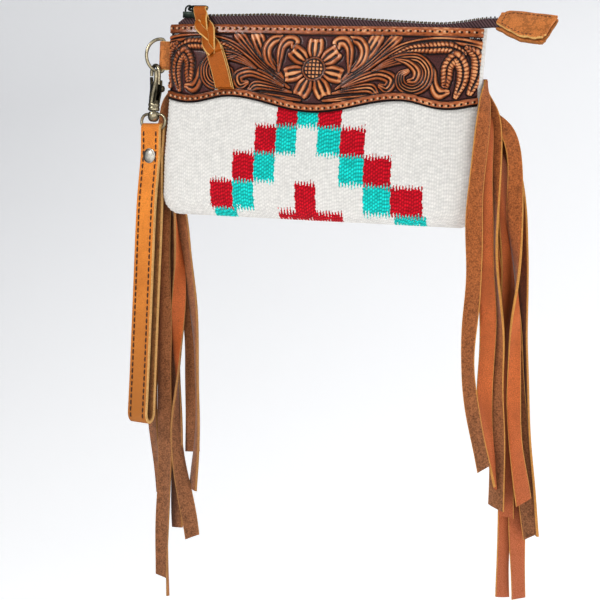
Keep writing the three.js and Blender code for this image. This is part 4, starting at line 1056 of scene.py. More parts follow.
class Carving:
    """The tooled pattern on a grid of places: its height, worn tone, whose highest values carry a painted
    highlight, matted ground, cuts and thread.
    """

    def __init__(self, x, z):
        self.x, self.z = x, z
        self.height = np.full(x.shape, CARVE.ground)
        self.ground = np.ones(x.shape)
        self.tone, self.cut, self.thread = (np.zeros(x.shape) for _ in range(3))

    def lay(self, inside, height, tone, cut, rim):
        """Lays a motif over what is below it, with a cut line round it."""
        self.height = np.where(inside, height, self.height)
        self.tone = np.where(inside, tone, self.tone)
        self.ground = np.where(inside, 0.0, self.ground)
        self.cut = np.where(inside, cut, np.maximum(self.cut, rim))

    def ribbon(self, rows, grooves, rib, end=RIBBON_END):
        """A carved ribbon along a curve, with grooves along it, ribs across it and a round or notched end."""
        rows = np.asarray(rows, float)
        line, last = curve_through(rows[:, :2], CARVE.steps), CARVE.steps
        width = np.interp(np.linspace(0, 1, last + 1), np.linspace(0, 1, len(rows)), rows[:, 2])
        margin = rows[:, 2].max() + CARVE.margin
        (x0, z0), (x1, z1) = line.min(0) - margin, line.max(0) + margin
        near = (self.x > x0) & (self.x < x1) & (self.z > z0) & (self.z < z1)
        places = np.stack([self.x[near], self.z[near]], -1)
        nearest, gap = nearest_on(line, width, places)
        tangent, wide, offset = tangents(line)[nearest], width[nearest], places - line[nearest]
        share = np.clip((tangent[:, 0] * offset[:, 1] - tangent[:, 1] * offset[:, 0]) / wide, -1, 1)
        ahead = (offset * tangent).sum(-1) * (nearest == last)
        past = ahead - wide * (end.past + end.notch * np.abs(share))
        gap = np.where(nearest == last, np.maximum(gap, past), gap)
        reach = path_length(line)
        gone = (reach[nearest] + ahead) / reach[last]
        values = self.profile(share, wide, gone, nearest / last, GROOVES[grooves], end)
        if rib:
            values = self.ribbed(share, reach[nearest] / rib, *values)
        height, tone, cut = values
        rim = bell(np.maximum(gap, 0), CARVE.rim) * (gap < CARVE.rim_reach)
        height, tone = height - CARVE.cut_depth * cut, tone - CARVE_TONE.cut * cut
        self.lay(*(self.whole(near, v) for v in (gap < 0, height, tone, np.clip(cut, 0, 1), rim)))

    def profile(self, share, wide, gone, step, grooves, end):
        """Height, tone and cuts across a ribbon, with a rounded ridge between each groove and the next."""
        closed = smooth_step(gone, end.stop, end.stop + GROOVE.close_in)
        open_part = smooth_step(gone, GROOVE.open_from, GROOVE.open_by) * (1 - closed)
        cut, ridge = np.zeros(len(share)), np.zeros(len(share))
        for groove in grooves:
            line_width = CARVE.cut * end.slot * (GROOVE.thin + GROOVE.flare * step)
            cut = np.maximum(cut, bell(np.abs(share - groove) * wide, line_width) * open_part)
        ends = (-1.0, *grooves, 1.0)
        for near, far in zip(ends[:-1], ends[1:]):
            ridge = np.maximum(ridge, 1 - (2 * (share - near) / (far - near) - 1) ** 2)
        crown = 1 - np.abs(share) ** CARVE.crown_power
        height = CARVE.low + CARVE.crown * crown + CARVE.ridge * ridge
        tone = CARVE_TONE.low + CARVE_TONE.crown * crown + CARVE_TONE.ridge * ridge + CARVE_TONE.tip * step
        return height, tone, cut

    def ribbed(self, share, count, height, tone, cut):
        """The same with slanting ribs across."""
        wave = np.sin(2 * math.pi * (count + RIB.slope * np.abs(share)))
        between = np.clip(-wave - RIB.cut_from, 0, 1) * RIB.cut * (np.abs(share) > RIB.spine)
        cut = np.maximum(cut, between * (1 - RIB.fade * np.abs(share)))
        return height + RIB.height * wave, tone + RIB.tone * wave, cut

    def whole(self, near, values):
        """A motif's values, put back on the whole grid."""
        grid = np.zeros(self.x.shape, values.dtype)
        grid[near] = values
        return grid

    def flower(self):
        """Petals round a hatched disc."""
        turns = np.arange(FLOWER.petals) * 2 * math.pi / FLOWER.petals + math.pi / 2
        radii = np.linspace(FLOWER.inner, FLOWER.outer, len(PETAL_WIDTHS))
        for t in np.concatenate([turns[1::2], turns[::2]]):
            rows = xyz(FLOWER.x + radii * math.cos(t), FLOWER.z + radii * math.sin(t), PETAL_WIDTHS)
            self.ribbon(rows, 2, 0, PETAL_END)
        radius = np.hypot(self.x - FLOWER.x, self.z - FLOWER.z)
        disc = radius < FLOWER.disc
        past = np.maximum(radius - FLOWER.rim, 0)
        rim = bell(past, FLOWER.rim_line) * (past < FLOWER.rim_reach)
        cut = bell(radius - FLOWER.disc, FLOWER.disc_line)
        for across in (self.x - FLOWER.x, self.z - FLOWER.z):
            gap = np.abs((across / FLOWER.hatch) % 1.0 - 0.5) * FLOWER.hatch
            cut = np.maximum(cut, bell(gap, FLOWER.hatch_line) * disc)
        tone = np.where(disc, FLOWER.disc_tone, FLOWER.rim_tone) - FLOWER.cut_depth * cut
        height = FLOWER.top - FLOWER.dome * radius**2 - FLOWER.cut_depth * cut
        self.lay(radius < FLOWER.rim, height, tone, cut, rim)

    def border(self, edge):
        """Plain bands along the upper and the scalloped edge, each with a row of punched stitch holes."""
        for inset, far, row, pitch, painted in (
            (POUCH_TOP - self.z, BORDER.top, HOLES.top_inset, HOLES.top_pitch, 0.0),
            (self.z - edge, BORDER.bottom, HOLES.bottom_inset, HOLES.bottom_pitch, BORDER.painted),
        ):
            gap = np.maximum(inset - far, 0)
            rim = bell(gap, BORDER.line) * (gap < BORDER.line_reach)
            local = (self.x / pitch) % 1.0 * pitch
            hole = bell(np.hypot(local - HOLES.hole_at * pitch, inset - row), HOLES.radius, 4)
            bead = bell(np.hypot(local - HOLES.bead_at * pitch, inset - row + HOLES.bead_rise), HOLES.bead, 4)
            # A dark strip along the scalloped edge: the edge dye, and painted shade under the band
            edge_dye_and_shade = 1 - smooth_step(inset, painted - BORDER.soft, painted + BORDER.soft) if painted else 0.0
            bevel = BAND.bevel * bell(inset, BORDER.bevel)
            height = BAND.level - bevel - BAND.hole * hole + BAND.bead * bead
            mottle = BAND.mottle * np.sin(BAND.mottle_x * self.x) * np.sin(BAND.mottle_in * inset)
            tone = BAND.tone - BAND.shadow * bell(inset - far, BORDER.shadow) + mottle
            self.lay(inset < far, height, tone, np.maximum(hole, edge_dye_and_shade), rim)
            self.thread = np.where(inset < far, bead, self.thread)


def tooled_yoke(sizes):
    """The carved yoke as one relief surface, turned under along its edges."""
    even = np.linspace(0, 1, YOKE.columns + 1)
    first, last = math.asin(YOKE.left_end), math.asin(YOKE.right_end)
    straight = YOKE.left_end + (YOKE.right_end - YOKE.left_end) * even
    share = (1 - YOKE.rounding) * straight + YOKE.rounding * np.sin(first + (last - first) * even)
    edge = yoke_edge(share * POUCH_WIDTHS[-1][1])
    z = POUCH_TOP + (edge - POUCH_TOP) * np.linspace(0, 1, YOKE.rows + 1)[:, None]
    base = on_pouch(share, z, -(YOKE.lift + YOKE.thickness), -1)
    carving = Carving(base[..., 0], z)
    for mirror in (1, -1):
        for grooves, rib, rows in RIBBONS:
            carving.ribbon([(FLOWER.x + mirror * x, level, width) for x, level, width in rows], grooves, rib)
    carving.flower()
    carving.border(yoke_edge(base[..., 0]))
    height = carving.height - YOKE.cut_depth * carving.cut * (carving.ground > 0.5)
    relief = base + toward(surface_normals(base), -Y) * (height * sizes.relief_depth / MM)[..., None]
    shape = Shape()
    shape.grid(relief)
    hem = yoke_hem(relief, on_pouch(share, z, -YOKE.lift, -1))
    shape.grid(hem, 1)
    leathers = [tooled_leather("carved_leather"), cut_edge("yoke_edge", "yoke_edge")]
    obj = shape.piece("tooled_yoke", "pouch", leathers, ["tooled_band"], facing=False)
    for name in ("tone", "ground", "cut", "thread"):
        values = np.concatenate([getattr(carving, name).ravel(), np.zeros(hem.size // 3)])
        set_values(obj, name, values, "POINT")


def rim_of(grid):
    """The points round the outside of a grid."""
    return np.concatenate([grid[0], grid[1:, -1], grid[-1, -2::-1], grid[-2:0:-1, 0]])


def yoke_hem(relief, inner):
    """The yoke's edge, from the relief back to the pouch and in under the yoke."""
    back = rim_of(inner)
    under = back + unit(back.mean(0) - back) * YOKE.hem
    under[:, 1] = back[:, 1]
    hem = np.stack([rim_of(relief), back, under], 0)
    return np.concatenate([hem, hem[:, :1]], 1)


# Pieces of the zip

def tape_top(x):
    return along(RIDGE, x) - ZIP.chain_height - ZIP.gap


def leaned(points, lean):
    """Points of the zip's tail, leaned back about the tail's axis."""
    x, y, z = np.moveaxis(np.asarray(points, float), -1, 0)
    up = z - TAIL.axis_z
    return xyz(x, y * np.cos(lean) + up * np.sin(lean), TAIL.axis_z - y * np.sin(lean) + up * np.cos(lean))


def tail_lean(x):
    return TAIL.lean * smooth_step(x, TAIL.start, TAIL.end)


def tape_spread(x, z):
    """Distance of a tape's middle from the zip's mid plane."""
    ridge = ZIP.ridge_spread + (ZIP.tail_spread - ZIP.ridge_spread) * smooth_step(x, TAIL.start, TAIL.end)
    low = np.minimum(z, POUCH_TOP)
    width, depth = along(POUCH_WIDTHS, low) - POUCH.wall, along(POUCH_DEPTHS, low) - POUCH.wall
    mouth = depth * fullness(np.minimum(np.abs(x) / width, 1))
    foot = np.maximum(mouth - ZIP.gap - ZIP.tape / 2, ZIP.tail_spread)
    return foot + (ridge - foot) * smooth_step((z - POUCH_TOP) / (tape_top(x) - POUCH_TOP), 0, 1)


def zip_tape(name, node, side):
    """One tape, from the teeth down into the mouth."""
    x = np.linspace(ZIP.left, ZIP.right, ZIP.columns + 1)
    foot = ZIP.foot + (ZIP.foot_end - ZIP.foot) * smooth_step(np.abs(x), ZIP.taper_from, ZIP.taper_to)
    slope = smooth_step(x, ZIP.left - ZIP.slope_from, ZIP.left + ZIP.slope_to)
    top = POUCH_TOP + (tape_top(x) - POUCH_TOP) * slope
    z = top + (foot - top) * np.linspace(0, 1, ZIP.rows + 1)[:, None]
    half = ZIP.tape / 2
    spread, lean = tape_spread(x, z), tail_lean(x)
    outer, inner = (leaned(xyz(x, side * (spread + off), z), lean) for off in (half, -half))
    shape = Shape()
    shape.loft(np.concatenate([outer, inner[::-1]], 0).transpose(1, 0, 2))
    shape.piece(name, "pouch", [twill("zip_twill")], [node], crease=50)


def zip_teeth(sizes):
    """Interlocked teeth along the ridge."""
    shape = Shape()
    pitch = sizes.tooth_pitch / MM
    half, c = TOOTH.length / 2, TOOTH.chamfer
    for k in range(int((ZIP.chain_right - ZIP.chain_left) / pitch)):
        x = ZIP.chain_left + k * pitch
        side = -1 if k % 2 else 1
        top = float(along(RIDGE, x))
        near, far = -side * TOOTH.past_middle, side * TOOTH.reach
        rings = []
        for z, inset in ((top - ZIP.chain_height, 0.0), (top - c, 0.0), (top, c)):
            a, b, n, f = x - half + inset, x + half - inset, near + side * inset, far - side * inset
            rings.append(leaned([(a, n, z), (b, n, z), (b, f, z), (a, f, z)], float(tail_lean(x))))
        shape.loft(rings)
    shape.piece("zip_teeth", "pouch", metals("zip_brass"), ["zipper_chain"], crease=30)


def rounded_loop(origin, across, up, half_across, half_up, corner, count=6):
    """Points of a loop with straight sides and round corners."""
    points = []
    for sign_a, sign_u, start in ((1, 1, 0), (-1, 1, 90), (-1, -1, 180), (1, -1, 270)):
        middle = np.array([sign_a * (half_across - corner), sign_u * (half_up - corner)])
        bend = middle + arc(start, start + 90, count + 1, corner, corner)
        points.extend(origin + a * across + u * up for a, u in bend)
    return np.array(points)


def pull_plane():
    """Middle and upward direction of the pull's wire loop."""
    tilt = math.radians(PULL.tilt)
    middle = np.array([(PULL.left + PULL.right) / 2, 0.0, PULL.z])
    return middle, np.array([0.0, math.cos(tilt), math.sin(tilt)])


def zip_slider():
    """The slider's body with its bail."""
    shape = Shape()
    for y0, y1, z in (
        (-SLIDER.outer, SLIDER.outer, SLIDER.plate),
        (-SLIDER.outer, -SLIDER.inner, SLIDER.bottom),
        (SLIDER.inner, SLIDER.outer, SLIDER.bottom),
    ):
        shape.block((SLIDER.left, y0, z), (SLIDER.right, y1, SLIDER.top), SLIDER.round)
    half = (BAIL.right - BAIL.left) / 2
    bow = arc(180, 0, BAIL.steps, half, half) + ((BAIL.left + BAIL.right) / 2, BAIL.top - BAIL.wire - half)
    line = np.array([(BAIL.left, BAIL.foot), *bow, (BAIL.right, BAIL.foot)])
    shape.tube(xyz(line[:, 0], 0.0, line[:, 1]), BAIL.wire, 12)
    shape.piece("zip_slider", "pouch", metals("dark_plating"), ["zipper_slider"], crease=40)


def zip_pull():
    """The dark wire loop on the bail."""
    middle, up = pull_plane()
    half = (PULL.right - PULL.left) / 2 - PULL.wire
    shape = Shape()
    loop = rounded_loop(middle, X, up, half, PULL.half_height - PULL.wire, PULL.corner)
    shape.tube(loop, PULL.wire, 12, True)
    shape.piece("zip_pull_loop", "pouch", metals("dark_plating"), ["zipper_pull"])


def braid_lie(z):
    """Middle of the hanging strip on the yoke at each height."""
    clear = -(YOKE.lift + YOKE.thickness + ZIP.gap + BRAID.thickness / 2)
    x = along(BRAID_LINE, z)
    return on_pouch(x / (along(POUCH_WIDTHS, z) - clear), z, clear, -1) - 2 * ZIP.gap * Y


def pull_line():
    """Line of the leather pull, over the bar and down the yoke: points, across, out and half widths."""
    middle, up = pull_plane()
    bar = middle + (PULL.wire - PULL.half_height) * up
    turns = arc(BRAID.fold_from, 0, BRAID.fold_steps)
    over = xyz(0.0, -turns[:, 0], turns[:, 1])
    fold = PULL.wire + ZIP.gap + BRAID.thickness / 2
    z = np.linspace(POUCH_TOP, BRAID_LINE[0][0], BRAID.steps)
    line = np.vstack([(BRAID.fold_x, *bar[1:]) + fold * over, braid_lie(z)])
    tangent = tangents(line)
    out = square_to(tangent, np.vstack([over, np.tile(-Y, (len(z), 1))]))
    half = np.concatenate([np.full(len(over), BRAID.fold_half), along(BRAID_WIDTHS, z)])
    return line, toward(np.cross(out, tangent), X), out, half


def braid_strand(shape, centre, side, face, places, strand):
    """One of the three strands, weaving over and under the others."""
    phase = 2 * math.pi * ((places - places[0]) / BRAID.period + strand / 3)[:, None]
    lift = BRAID.strand_lift - BRAID.cross * np.sin(2 * phase)
    path = centre + side * BRAID.swing * np.sin(phase) + face * lift
    step = tangents(path)
    flat = unit(face + BRAID.roll * np.cos(phase) * side)
    turned = toward(unit(np.cross(flat, step)), side)
    out = toward(np.cross(step, turned), face)
    shape.strip(path, turned, out, 2 * BRAID.strand_half, BRAID.strand, BRAID.strand_raw)


def braided_strip():
    """The leather pull: folded over the loop, braided in three, then two flat layers to its end."""
    *tables, half = pull_line()
    reach = path_length(tables[0])
    start = reach[BRAID.fold_steps - 1] + BRAID.below_fold
    end = start + BRAID.period * BRAID.turns
    flats = [(0.0, start + BRAID.under, 0.0, 0.0, 0.0)]
    for short, lift, shift in BRAID_TAILS:
        flats.append((end - BRAID.over, reach[-1] - short, lift, shift, BRAID.cut_slope))
    shape = Shape()
    for first, last, lift, shift, slant in flats:
        places = np.linspace(first, last, BRAID.flat_steps)
        centre, side, face = (rows_at(places, reach, table) for table in tables)
        path = centre + face * lift + side * shift
        widths = 2 * np.interp(places, reach, half)
        shape.strip(path, side, face, widths, BRAID.layer, BRAID.raw, slant=slant)
    places = np.linspace(start, end, BRAID.strand_steps)
    for strand in range(3):
        braid_strand(shape, *(rows_at(places, reach, table) for table in tables), places, strand)
    leathers = tan_finishes("pull_grain")
    shape.piece("braided_leather_pull", "pouch", leathers, ["braided_pull"], crease=40)


def stitches(shape, path, out, pitch, length, radius):
    """A row of short thread stitches along a path."""
    reach = path_length(path)
    out = np.broadcast_to(out, path.shape)
    steps = np.arange(STITCH.steps)[:, None]
    arch = np.sin(math.pi * steps / steps[-1]) * radius * STITCH.arch - radius * STITCH.sunk
    for start in np.arange(pitch / 2, reach[-1] - length, pitch):
        places = np.linspace(start, start + length, STITCH.steps)
        points = rows_at(places, reach, path) + arch * rows_at(places, reach, out)
        shape.tube(points + STITCH.bend * steps**2 * UP, radius, STITCH.sides)


def wavy_outline(outline, steps, swing, seed):
    """An outline cut by hand: more points, each a little off the line."""
    points = np.array(outline, float)
    ends = np.roll(points, -1, 0)
    made = np.concatenate([[a + (b - a) * k / steps for k in range(steps)] for a, b in zip(points, ends)])
    number = np.arange(len(made))
    return made + swing * np.stack([hashed(number + seed) - 0.5, hashed(number + seed + 40.0) - 0.5], -1)


def in_tab(x, y, z):
    """Points of the end tab's own plane, leaned with the zip's tail."""
    return leaned(xyz(x, y, z), TAIL.lean)


def end_tab_finish():
    """Two layers of leather sewn over the zip's tail, with a fold along the top."""
    shape = Shape()
    half = END_TAB.thickness / 2
    middle = np.mean(END_TAB_OUTLINE, 0)
    layers = ((-1, 1.0, 0.0, (2, 0)), (1, END_TAB.grow, END_TAB.drop, (3, 3)))
    for number, (side, grow, drop, edges) in enumerate(layers):
        wavy = wavy_outline(END_TAB_OUTLINE, END_TAB.wave_steps, END_TAB.wave, END_TAB.wave_seed * number)
        ring = middle + (wavy - middle) * grow
        x, z = ring[:, 0], ring[:, 1] - drop * smooth_step(-ring[:, 1], 0, END_TAB.drop_by)
        face, inner = (in_tab(x, depth * side, z) for depth in (half, half - END_TAB.layer))
        shape.prism(face, (inner - face)[0], END_TAB.round, 0, edges)
    x, z = np.transpose(END_TAB_FOLD)
    depth = np.array((-1, 1, 1, -1)) * (half - END_TAB.fold_inset)
    top, below = (in_tab(x, depth, level) for level in (z, z - END_TAB.fold_depth))
    shape.prism(top, (below - top)[0], END_TAB.round)
    # The back layer's edges take the darker edge colour: painted shade
    leathers = tan_finishes("tab_grain", wrinkled=True) + [cut_edge("handled_cut", "handled")]
    shape.piece("zip_end_tab", "pouch", leathers, ["zipper_end_tab"], crease=45)
    path = middle + (np.array(END_TAB_OUTLINE) - middle) * END_TAB.stitch_line
    path = np.vstack([path[END_TAB.stitch_from:], path[:END_TAB.stitch_to]])
    path = rows_at(np.linspace(0, 1, END_TAB.stitch_steps), np.linspace(0, 1, len(path)), path)
    out = unit(in_tab(0, -1, 0) - in_tab(0, 0, 0))
    thread = Shape()
    line = in_tab(path[:, 0], -half, path[:, 1])
    stitches(thread, line, out, END_TAB.stitch_pitch, END_TAB.stitch, END_TAB.thread)
    thread.piece("end_tab_stitches", "pouch", dark_thread())


def side_tab_finish():
    """The folded leather loop that holds the ring's bar."""
    radius = SIDE_TAB.outer - SIDE_TAB.layer / 2
    bend = arc(SIDE_TAB.bend_from, SIDE_TAB.bend_to, SIDE_TAB.bend_steps, radius, radius) + (RING.bar_x, 0)
    near, neck = SIDE_TAB.seam_half - SIDE_TAB.layer / 2, SIDE_TAB.seam_x - SIDE_TAB.neck
    wide = near + SIDE_TAB.flare
    flat = np.array([(SIDE_TAB.seam_x, near), (neck, wide), *bend, (neck, -wide), (SIDE_TAB.seam_x, -near)])
    middle = (SIDE_TAB.top + SIDE_TAB.bottom) / 2
    line = xyz(flat[:, 0], flat[:, 1], middle)
    out = toward(np.cross(tangents(line), UP), line - (RING.bar_x, 0, middle))
    shape = Shape()
    shape.strip(line, UP, out, SIDE_TAB.top - SIDE_TAB.bottom, SIDE_TAB.layer, SIDE_TAB.raw)
    leathers = tan_finishes("tab_grain", wrinkled=True)
    shape.piece("ring_tab", "pouch", leathers, ["side_tab"], crease=45)


# Ring, hook and swivel

BOW = heading(180 + RING.turn)
SWIVEL = np.array([RING.bar_x, 0.0, 0.0]) + HOOK.reach * BOW
HOOK_ACROSS = heading(HOOK.turn)
HOOK_NORMAL = np.cross(HOOK_ACROSS, UP)
STRAP_ACROSS = heading(STRAP.turn)
STRAP_OUT = np.cross(STRAP_ACROSS, UP)


def in_hook(u, z, out=0.0):
    """A point in the hook's own plane."""
    return SWIVEL + u * HOOK_ACROSS + z * UP + out * HOOK_NORMAL


def hook_plate(shape, outline, near, far, rounding, finish=0):
    """A plate in the hook's plane, from one distance out of it to another."""
    shape.prism([in_hook(u, z, near) for u, z in outline], (far - near) * HOOK_NORMAL, rounding, finish)


def d_ring_wire():
    """The ring: a straight bar and a bow."""
    corner, straight = RING.corner, RING.half - RING.corner
    line = [(0, v) for v in np.linspace(-straight, straight, RING.bar_steps)[:-1]]
    line += list(arc(180, 90, RING.corner_steps, corner, corner) + (corner, straight))
    line += list(arc(90, -90, RING.bow_steps, RING.depth - corner, RING.half)[1:] + (corner, 0))
    line += list(arc(270, 180, RING.corner_steps, corner, corner)[1:-1] + (corner, -straight))
    shape = Shape()
    shape.tube([(RING.bar_x, 0.0, RING.z) + u * BOW + v * UP for u, v in line], RING.wire, 14, True)
    shape.piece("d_ring_wire", "pouch", metals("worn_brass"), ["d_ring"])


def snap_hook_finish():
    """The claw, its curved bar, two cheeks, the swivel's collar and the gate's pin."""
    shape = Shape()
    line = [(-HOOK.bend, HOOK.nose_end), (-HOOK.bend, HOOK.nose_end + HOOK.nose)]
    line += list(arc(180, 0, HOOK.bend_steps, HOOK.bend, HOOK.bend) + (0, HOOK.bend_z))
    line += [(HOOK.bend, z) for z in np.linspace(HOOK.bend_z, HOOK.limb_end, HOOK.limb_steps)[1:]]
    radii = HOOK.wire * np.interp(np.linspace(0, 1, len(line)), *CLAW_TAPER)
    shape.tube([in_hook(u, z) for u, z in line], radii)
    for side in (-1, 1):
        hook_plate(shape, CHEEK_OUTLINE, side * HOOK.slot, side * HOOK.cheek, HOOK.cheek_round, 1)
    bar = curve_through([in_hook(u, z, HOOK.cheek - HOOK.bar_sunk) for u, z in HOOK_BAR], HOOK.bar_steps)
    shape.tube(bar, HOOK.wire * HOOK.bar)
    past = HOOK.slot + HOOK.bridge_past
    hook_plate(shape, BRIDGE_OUTLINE, -past, past, HOOK.bridge_round, 1)
    shape.lathe(COLLAR_PROFILE, SWIVEL, UP)
    for side in (-1, 1):
        shape.lathe(PIN_PROFILE, in_hook(*GATE.pivot, side * HOOK.cheek), side * HOOK_NORMAL, 16)
    shape.lathe(((GATE.pin, -HOOK.cheek), (GATE.pin, HOOK.cheek)), in_hook(*GATE.pivot), HOOK_NORMAL, 12)
    brass = metals("worn_brass", "dark_brass")
    shape.piece("snap_hook_body", "pouch", brass, ["snap_hook"], crease=40)


def gate_lever():
    """The sprung gate with its thumb lug."""
    shape = Shape()
    hook_plate(shape, GATE_OUTLINE, -GATE.half, GATE.half, GATE.round)
    shape.lathe(LUG_PROFILE, in_hook(*GATE.lug, -GATE.half - GATE.lug_past), HOOK_NORMAL, 18)
    shape.piece("gate_lever", "gate", metals("dark_brass"), ["snap_gate"], crease=40)


def swivel_eye_finish():
    """The swivel's rectangular eye and its stem."""
    shape = Shape()
    middle = SWIVEL + UP * (EYE.top + EYE.bottom) / 2
    loop = rounded_loop(middle, STRAP_ACROSS, UP, EYE.half, (EYE.top - EYE.bottom) / 2, EYE.corner)
    shape.tube(loop, EYE.wire, 12, True)
    shape.lathe(BOSS_PROFILE, SWIVEL, UP, 24)
    shape.piece("swivel_eye_wire", "strap", metals("worn_brass"), ["swivel_eye"], crease=50)


# Wrist strap

def strap_line():
    """The loop's closed middle line, with its outward directions, from the front leg's top."""
    z = np.linspace(EYE.bottom, STRAP.loop_to, STRAP.steps)
    spread = along(STRAP_SPREADS, z)
    reach = STRAP.loop_to - STRAP_BOTTOM - STRAP.thickness / 2
    under = arc(0, -180, STRAP.fold_steps, spread[-1], reach)[1:-1] + (0, STRAP.loop_to)
    over = arc(180, 0, STRAP.fold_steps, spread[0], spread[0])[1:-1] + (0, EYE.bottom)
    legs = np.stack([spread, z], -1)
    flat = np.concatenate([legs, under, legs[::-1] * (-1, 1), over])
    line = SWIVEL + flat[:, :1] * STRAP_OUT + flat[:, 1:] * UP
    return line, np.cross(tangents(line, True), STRAP_ACROSS)


def wrist_strap_finish(sizes):
    """The leather loop with two rows of stitches on each leg."""
    line, out = strap_line()
    shape = Shape()
    shape.strip(line, STRAP_ACROSS, out, STRAP.width, STRAP.thickness, STRAP.round, joined=True)
    # The strap is darker towards the bottom
    leathers = tan_finishes("strap_grain", "strap_edge", lower=("handled", STRAP.handled))
    shape.piece("wrist_strap_leather", "strap", leathers, ["wrist_strap"], crease=45)
    thread = Shape()
    pitch, length = sizes.stitch_pitch / MM, STRAP.stitch * sizes.stitch_pitch / MM
    lift = STRAP.thickness / 2 + STRAP.stitch_lift
    half = STRAP.width / 2 - STRAP.stitch_inset
    past, back = STRAP.stitch_past, STRAP.steps + STRAP.fold_steps - 2
    for leg in (slice(0, STRAP.steps + past), slice(back - past, back + STRAP.steps)):
        for side in (-half, half):
            path = line[leg] + STRAP_ACROSS * side + out[leg] * lift
            stitches(thread, path, out[leg], pitch, length, STRAP.thread)
    thread.piece("strap_stitches", "strap", dark_thread())


def strap_rivet_finish():
    """Domed rivet head in front, a flat cap behind and the shank between."""
    shape = Shape()
    face = float(along(STRAP_SPREADS, STRAP.rivet_z)) + STRAP.thickness / 2 + STRAP.rivet_gap
    middle = SWIVEL + STRAP.rivet_z * UP
    shape.lathe(RIVET_PROFILE, middle + face * STRAP_OUT, STRAP_OUT, 32)
    shape.lathe(CAP_PROFILE, middle - face * STRAP_OUT, -STRAP_OUT, 28)
    shape.lathe(((STRAP.shank, -face), (STRAP.shank, face)), middle, STRAP_OUT, 14)
    shape.piece("rivet_dome", "strap", metals("rivet_nickel"), ["strap_rivet"], crease=40)


# Fringe

def ripple(waves, t, number):
    return sum(size * np.sin(rate * t + shift * number) for size, rate, shift in waves)


def fringe_strip(shape, root, row, number):
    """One strip from its root on the header to its slanting cut end, a little wavy and cupped."""
    row = Sizes(**dict(zip(STRIP_COLUMNS, row)))
    down = np.linspace(root[2] - STRIP.drop, row.end_z, len(row.xs))
    depth = np.full(len(down), row.depth, float)
    depth[0] = root[1] + (row.depth - root[1]) * STRIP.share
    line = curve_through(np.vstack([root, xyz(row.xs, depth, down)]), STRIP.steps)
    t = np.linspace(0, 1, STRIP.steps + 1)
    free = smooth_step(t, STRIP.free_from, STRIP.free_to)
    turn = along(list(zip(np.linspace(0, 1, len(row.turns)), row.turns)), t)
    turn = np.radians(turn + ripple(RIPPLES.turn, t, number) * free)
    line[:, 0] += free * ripple(RIPPLES.place, t, number)
    tangent = tangents(line)
    across = square_to(tangent, xyz(np.cos(turn), np.sin(turn), 0.0))
    widths = STRIP.width * (STRIP.root_share + (1 - STRIP.root_share) * smooth_step(t, 0, STRIP.spread_by))
    widths = widths * (1 + ripple(RIPPLES.width, t, number))
    cups = free * ripple(RIPPLES.cup, t, number)
    slant = STRIP.slant * math.sin(STRIP.slant_rate * number + STRIP.slant_shift)
    shape.strip(line, across, np.cross(tangent, across), widths, STRIP.thickness, STRIP.raw, cups, slant)


def left_fringe():
    """Strips on the header behind the left seam."""
    shape = Shape()
    share = -np.linspace(LEFT_HEADER.start, LEFT_HEADER.end, LEFT_HEADER.columns)
    z = np.linspace(LEFT_HEADER.top, LEFT_HEADER.bottom, LEFT_HEADER.rows)[:, None]
    outer, inner = (on_pouch(share, z, -out, 1) for out in (LEFT_HEADER.outer, LEFT_HEADER.inner))
    shape.loft(np.concatenate([outer, inner[:, ::-1]], 1), False, 1)
    middle = -(LEFT_HEADER.start + LEFT_HEADER.end) / 2
    for number, row in enumerate(LEFT_STRIPS):
        fringe_strip(shape, on_pouch(middle, row[0], -LEFT_HEADER.outer, 1), row, number)
    # The left fringe takes darker copies of the suede and edge colours: painted shade
    leathers = fringe_finishes("fringe_shaded", "fringe_brown_edge")
    shape.piece("left_fringe", "pouch", leathers, ["fringe_left"], crease=45)


def right_fringe():
    """Strips on the header that stands out of the right seam."""
    shape = Shape()
    z = np.linspace(RIGHT_HEADER.top, RIGHT_HEADER.bottom, RIGHT_HEADER.rows)
    inner, outer, half = RIGHT_HEADER.inner, RIGHT_HEADER.outer, RIGHT_HEADER.half
    corners = ((inner, -half), (outer, -half), (outer, half), (inner, half))
    shape.loft(np.stack([xyz(along(POUCH_WIDTHS, z) + out, y, z) for out, y in corners], 1), False, 1)
    for number, row in enumerate(RIGHT_STRIPS, len(LEFT_STRIPS)):
        root = np.array([float(along(POUCH_WIDTHS, row[0])) + outer - half, 0.0, row[0]])
        fringe_strip(shape, root, row, number)
    leathers = fringe_finishes("fringe_suede", "fringe_edge")
    shape.piece("right_fringe", "pouch", leathers, ["fringe_right"], crease=45)


# Stage

def make_camera():
    """The camera at the viewing angle, with the frame's small roll."""
    data = bpy.data.cameras.new("camera")
    data.lens = CAMERA.lens
    data.sensor_width = CAMERA.sensor
    camera = linked("camera", data)
    place = Vector(CAMERA.place) * MM
    forward = (Vector(CAMERA.target) * MM - place).normalized()
    level = forward.cross(Vector(UP)).normalized()
    above = level.cross(forward)
    right = level * math.cos(CAMERA.roll) + above * math.sin(CAMERA.roll)
    up = above * math.cos(CAMERA.roll) - level * math.sin(CAMERA.roll)
    turn = Matrix((right, up, -forward)).transposed()
    camera.matrix_world = Matrix.Translation(place) @ turn.to_4x4()
    bpy.context.scene.camera = camera


